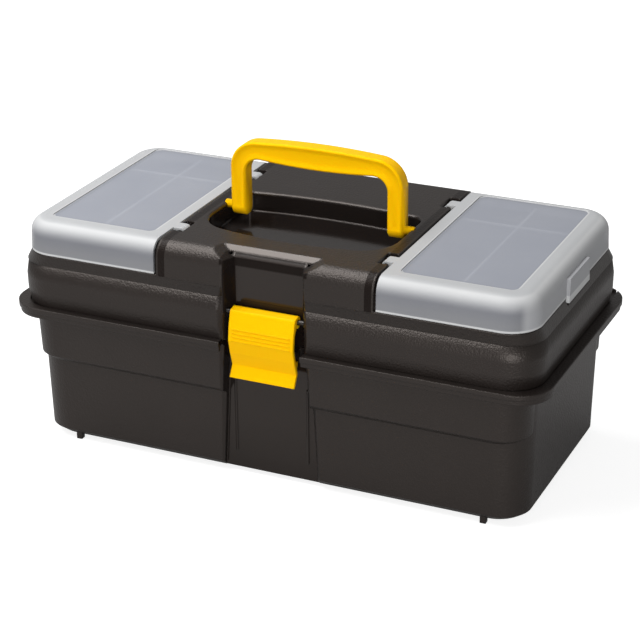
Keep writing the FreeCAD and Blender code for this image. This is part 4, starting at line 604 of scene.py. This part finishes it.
# %% Steel pins
def drawn_wire(name):
    """Dark wire with lines along X, which vary its roughness and its colour."""
    material, tree, steel, place, _ = start_material(name)
    stretch = add(tree, "ShaderNodeMapping", Scale=(40.0, 4000.0, 4000.0))
    lines = add(tree, "ShaderNodeTexNoise", Scale=1.0, Detail=2.0)
    wire(tree, place, stretch.inputs["Vector"])
    wire(tree, stretch.outputs["Vector"], lines.inputs["Vector"])
    wire(tree, blend_range(tree, lines.outputs["Fac"], 0.34, 0.50), steel.inputs["Roughness"])
    shade = colour_between(tree, lines.outputs["Fac"], (0.040, 0.038, 0.037), (0.070, 0.067, 0.065))
    wire(tree, shade, steel.inputs["Base Color"])
    steel.inputs["Metallic"].default_value = 1.0
    return material


steel_wire = drawn_wire("steel_wire")
for node in ("hinge_pin_left", "hinge_pin_right", "latch_pin"):
    dress(node, steel_wire)
print("steel pins:", steel_wire.name)

# %% [markdown]
# ## Floor, backdrop and light
#
# The photograph has a pure white ground. Raising the lamps for that would bleach the box, so
# the floor and the world get their white from their own colour, only for rays that come from
# the camera or through the covers, and weakly for reflections. The light on the box stays plain:
# a long soft box above, a little to the left, and a weaker one in front on the right.

# %% Floor and backdrop
def white_to_the_eye(tree, mirrored_share):
    """1 for rays from the camera or through a surface, and mirrored_share for reflected ones."""
    rays = tree.nodes.new("ShaderNodeLightPath").outputs
    mirrored = calculate(tree, "MULTIPLY", rays["Is Glossy Ray"], mirrored_share)
    seen = calculate(tree, "MAXIMUM", rays["Is Camera Ray"], mirrored)
    return calculate(tree, "MAXIMUM", seen, rays["Is Transmission Ray"])


def floor_material():
    """Grey paper for the light on the box, and a white glow for the eye."""
    material = bpy.data.materials.new("floor_white")
    material.use_nodes = True
    tree = material.node_tree
    tree.nodes.clear()
    output = tree.nodes.new("ShaderNodeOutputMaterial")
    paper = add(tree, "ShaderNodeBsdfDiffuse", Color=(0.48, 0.48, 0.48, 1))
    glow = add(tree, "ShaderNodeEmission", Color=(1, 1, 1, 1), Strength=0.80)
    both = tree.nodes.new("ShaderNodeAddShader")
    choice = tree.nodes.new("ShaderNodeMixShader")
    wire(tree, paper.outputs[0], both.inputs[0])
    wire(tree, glow.outputs[0], both.inputs[1])
    wire(tree, white_to_the_eye(tree, 0.12), choice.inputs["Fac"])
    wire(tree, paper.outputs[0], choice.inputs[1])
    wire(tree, both.outputs[0], choice.inputs[2])
    wire(tree, choice.outputs[0], output.inputs["Surface"])
    return material


floor_half = 3.0
floor_mesh = bpy.data.meshes.new("floor")
floor_mesh.from_pydata([(-floor_half, -floor_half, 0), (floor_half, -floor_half, 0),
                        (floor_half, floor_half, 0), (-floor_half, floor_half, 0)], [], [(0, 1, 2, 3)])
floor = bpy.data.objects.new("floor", floor_mesh)
floor.data.materials.append(floor_material())
scene.collection.objects.link(floor)
print("floor", 2 * floor_half, "m wide")

# %% [markdown]
# ## World and lamps
#
# The world gives an even light from all sides, and the two soft boxes give the box its shape:
# one above, long from front to back, and one low in front.

# %% World and lamps
world = bpy.data.worlds.new("plain_white")
scene.world = world
world.use_nodes = True
sky = world.node_tree
sky.nodes.clear()
sky_output = sky.nodes.new("ShaderNodeOutputWorld")
plain = add(sky, "ShaderNodeBackground", Color=(1, 1, 1, 1), Strength=0.24)
white = add(sky, "ShaderNodeBackground", Color=(1, 1, 1, 1), Strength=1.0)
sky_choice = sky.nodes.new("ShaderNodeMixShader")
wire(sky, white_to_the_eye(sky, 0.15), sky_choice.inputs["Fac"])
wire(sky, plain.outputs[0], sky_choice.inputs[1])
wire(sky, white.outputs[0], sky_choice.inputs[2])
wire(sky, sky_choice.outputs[0], sky_output.inputs["Surface"])


def soft_lamp(name, place, width, depth, power, target=None):
    """A rectangular soft box at place that faces target, or straight down without one."""
    data = bpy.data.lights.new(name, "AREA")
    data.shape = "RECTANGLE"
    data.size = width
    data.size_y = depth
    data.energy = power
    lamp = bpy.data.objects.new(name, data)
    lamp.location = place
    if target:
        facing = Vector(target) - Vector(place)
        lamp.rotation_euler = facing.to_track_quat("-Z", "Y").to_euler()
    scene.collection.objects.link(lamp)


soft_lamp("lamp_above", place=(-0.53, -0.30, 1.26), width=0.60, depth=1.50, power=23)
soft_lamp("lamp_front", place=(0.60, -1.55, 0.50), width=1.0, depth=0.7, power=15, target=(0, 0, 0.08))
print("lamps set")
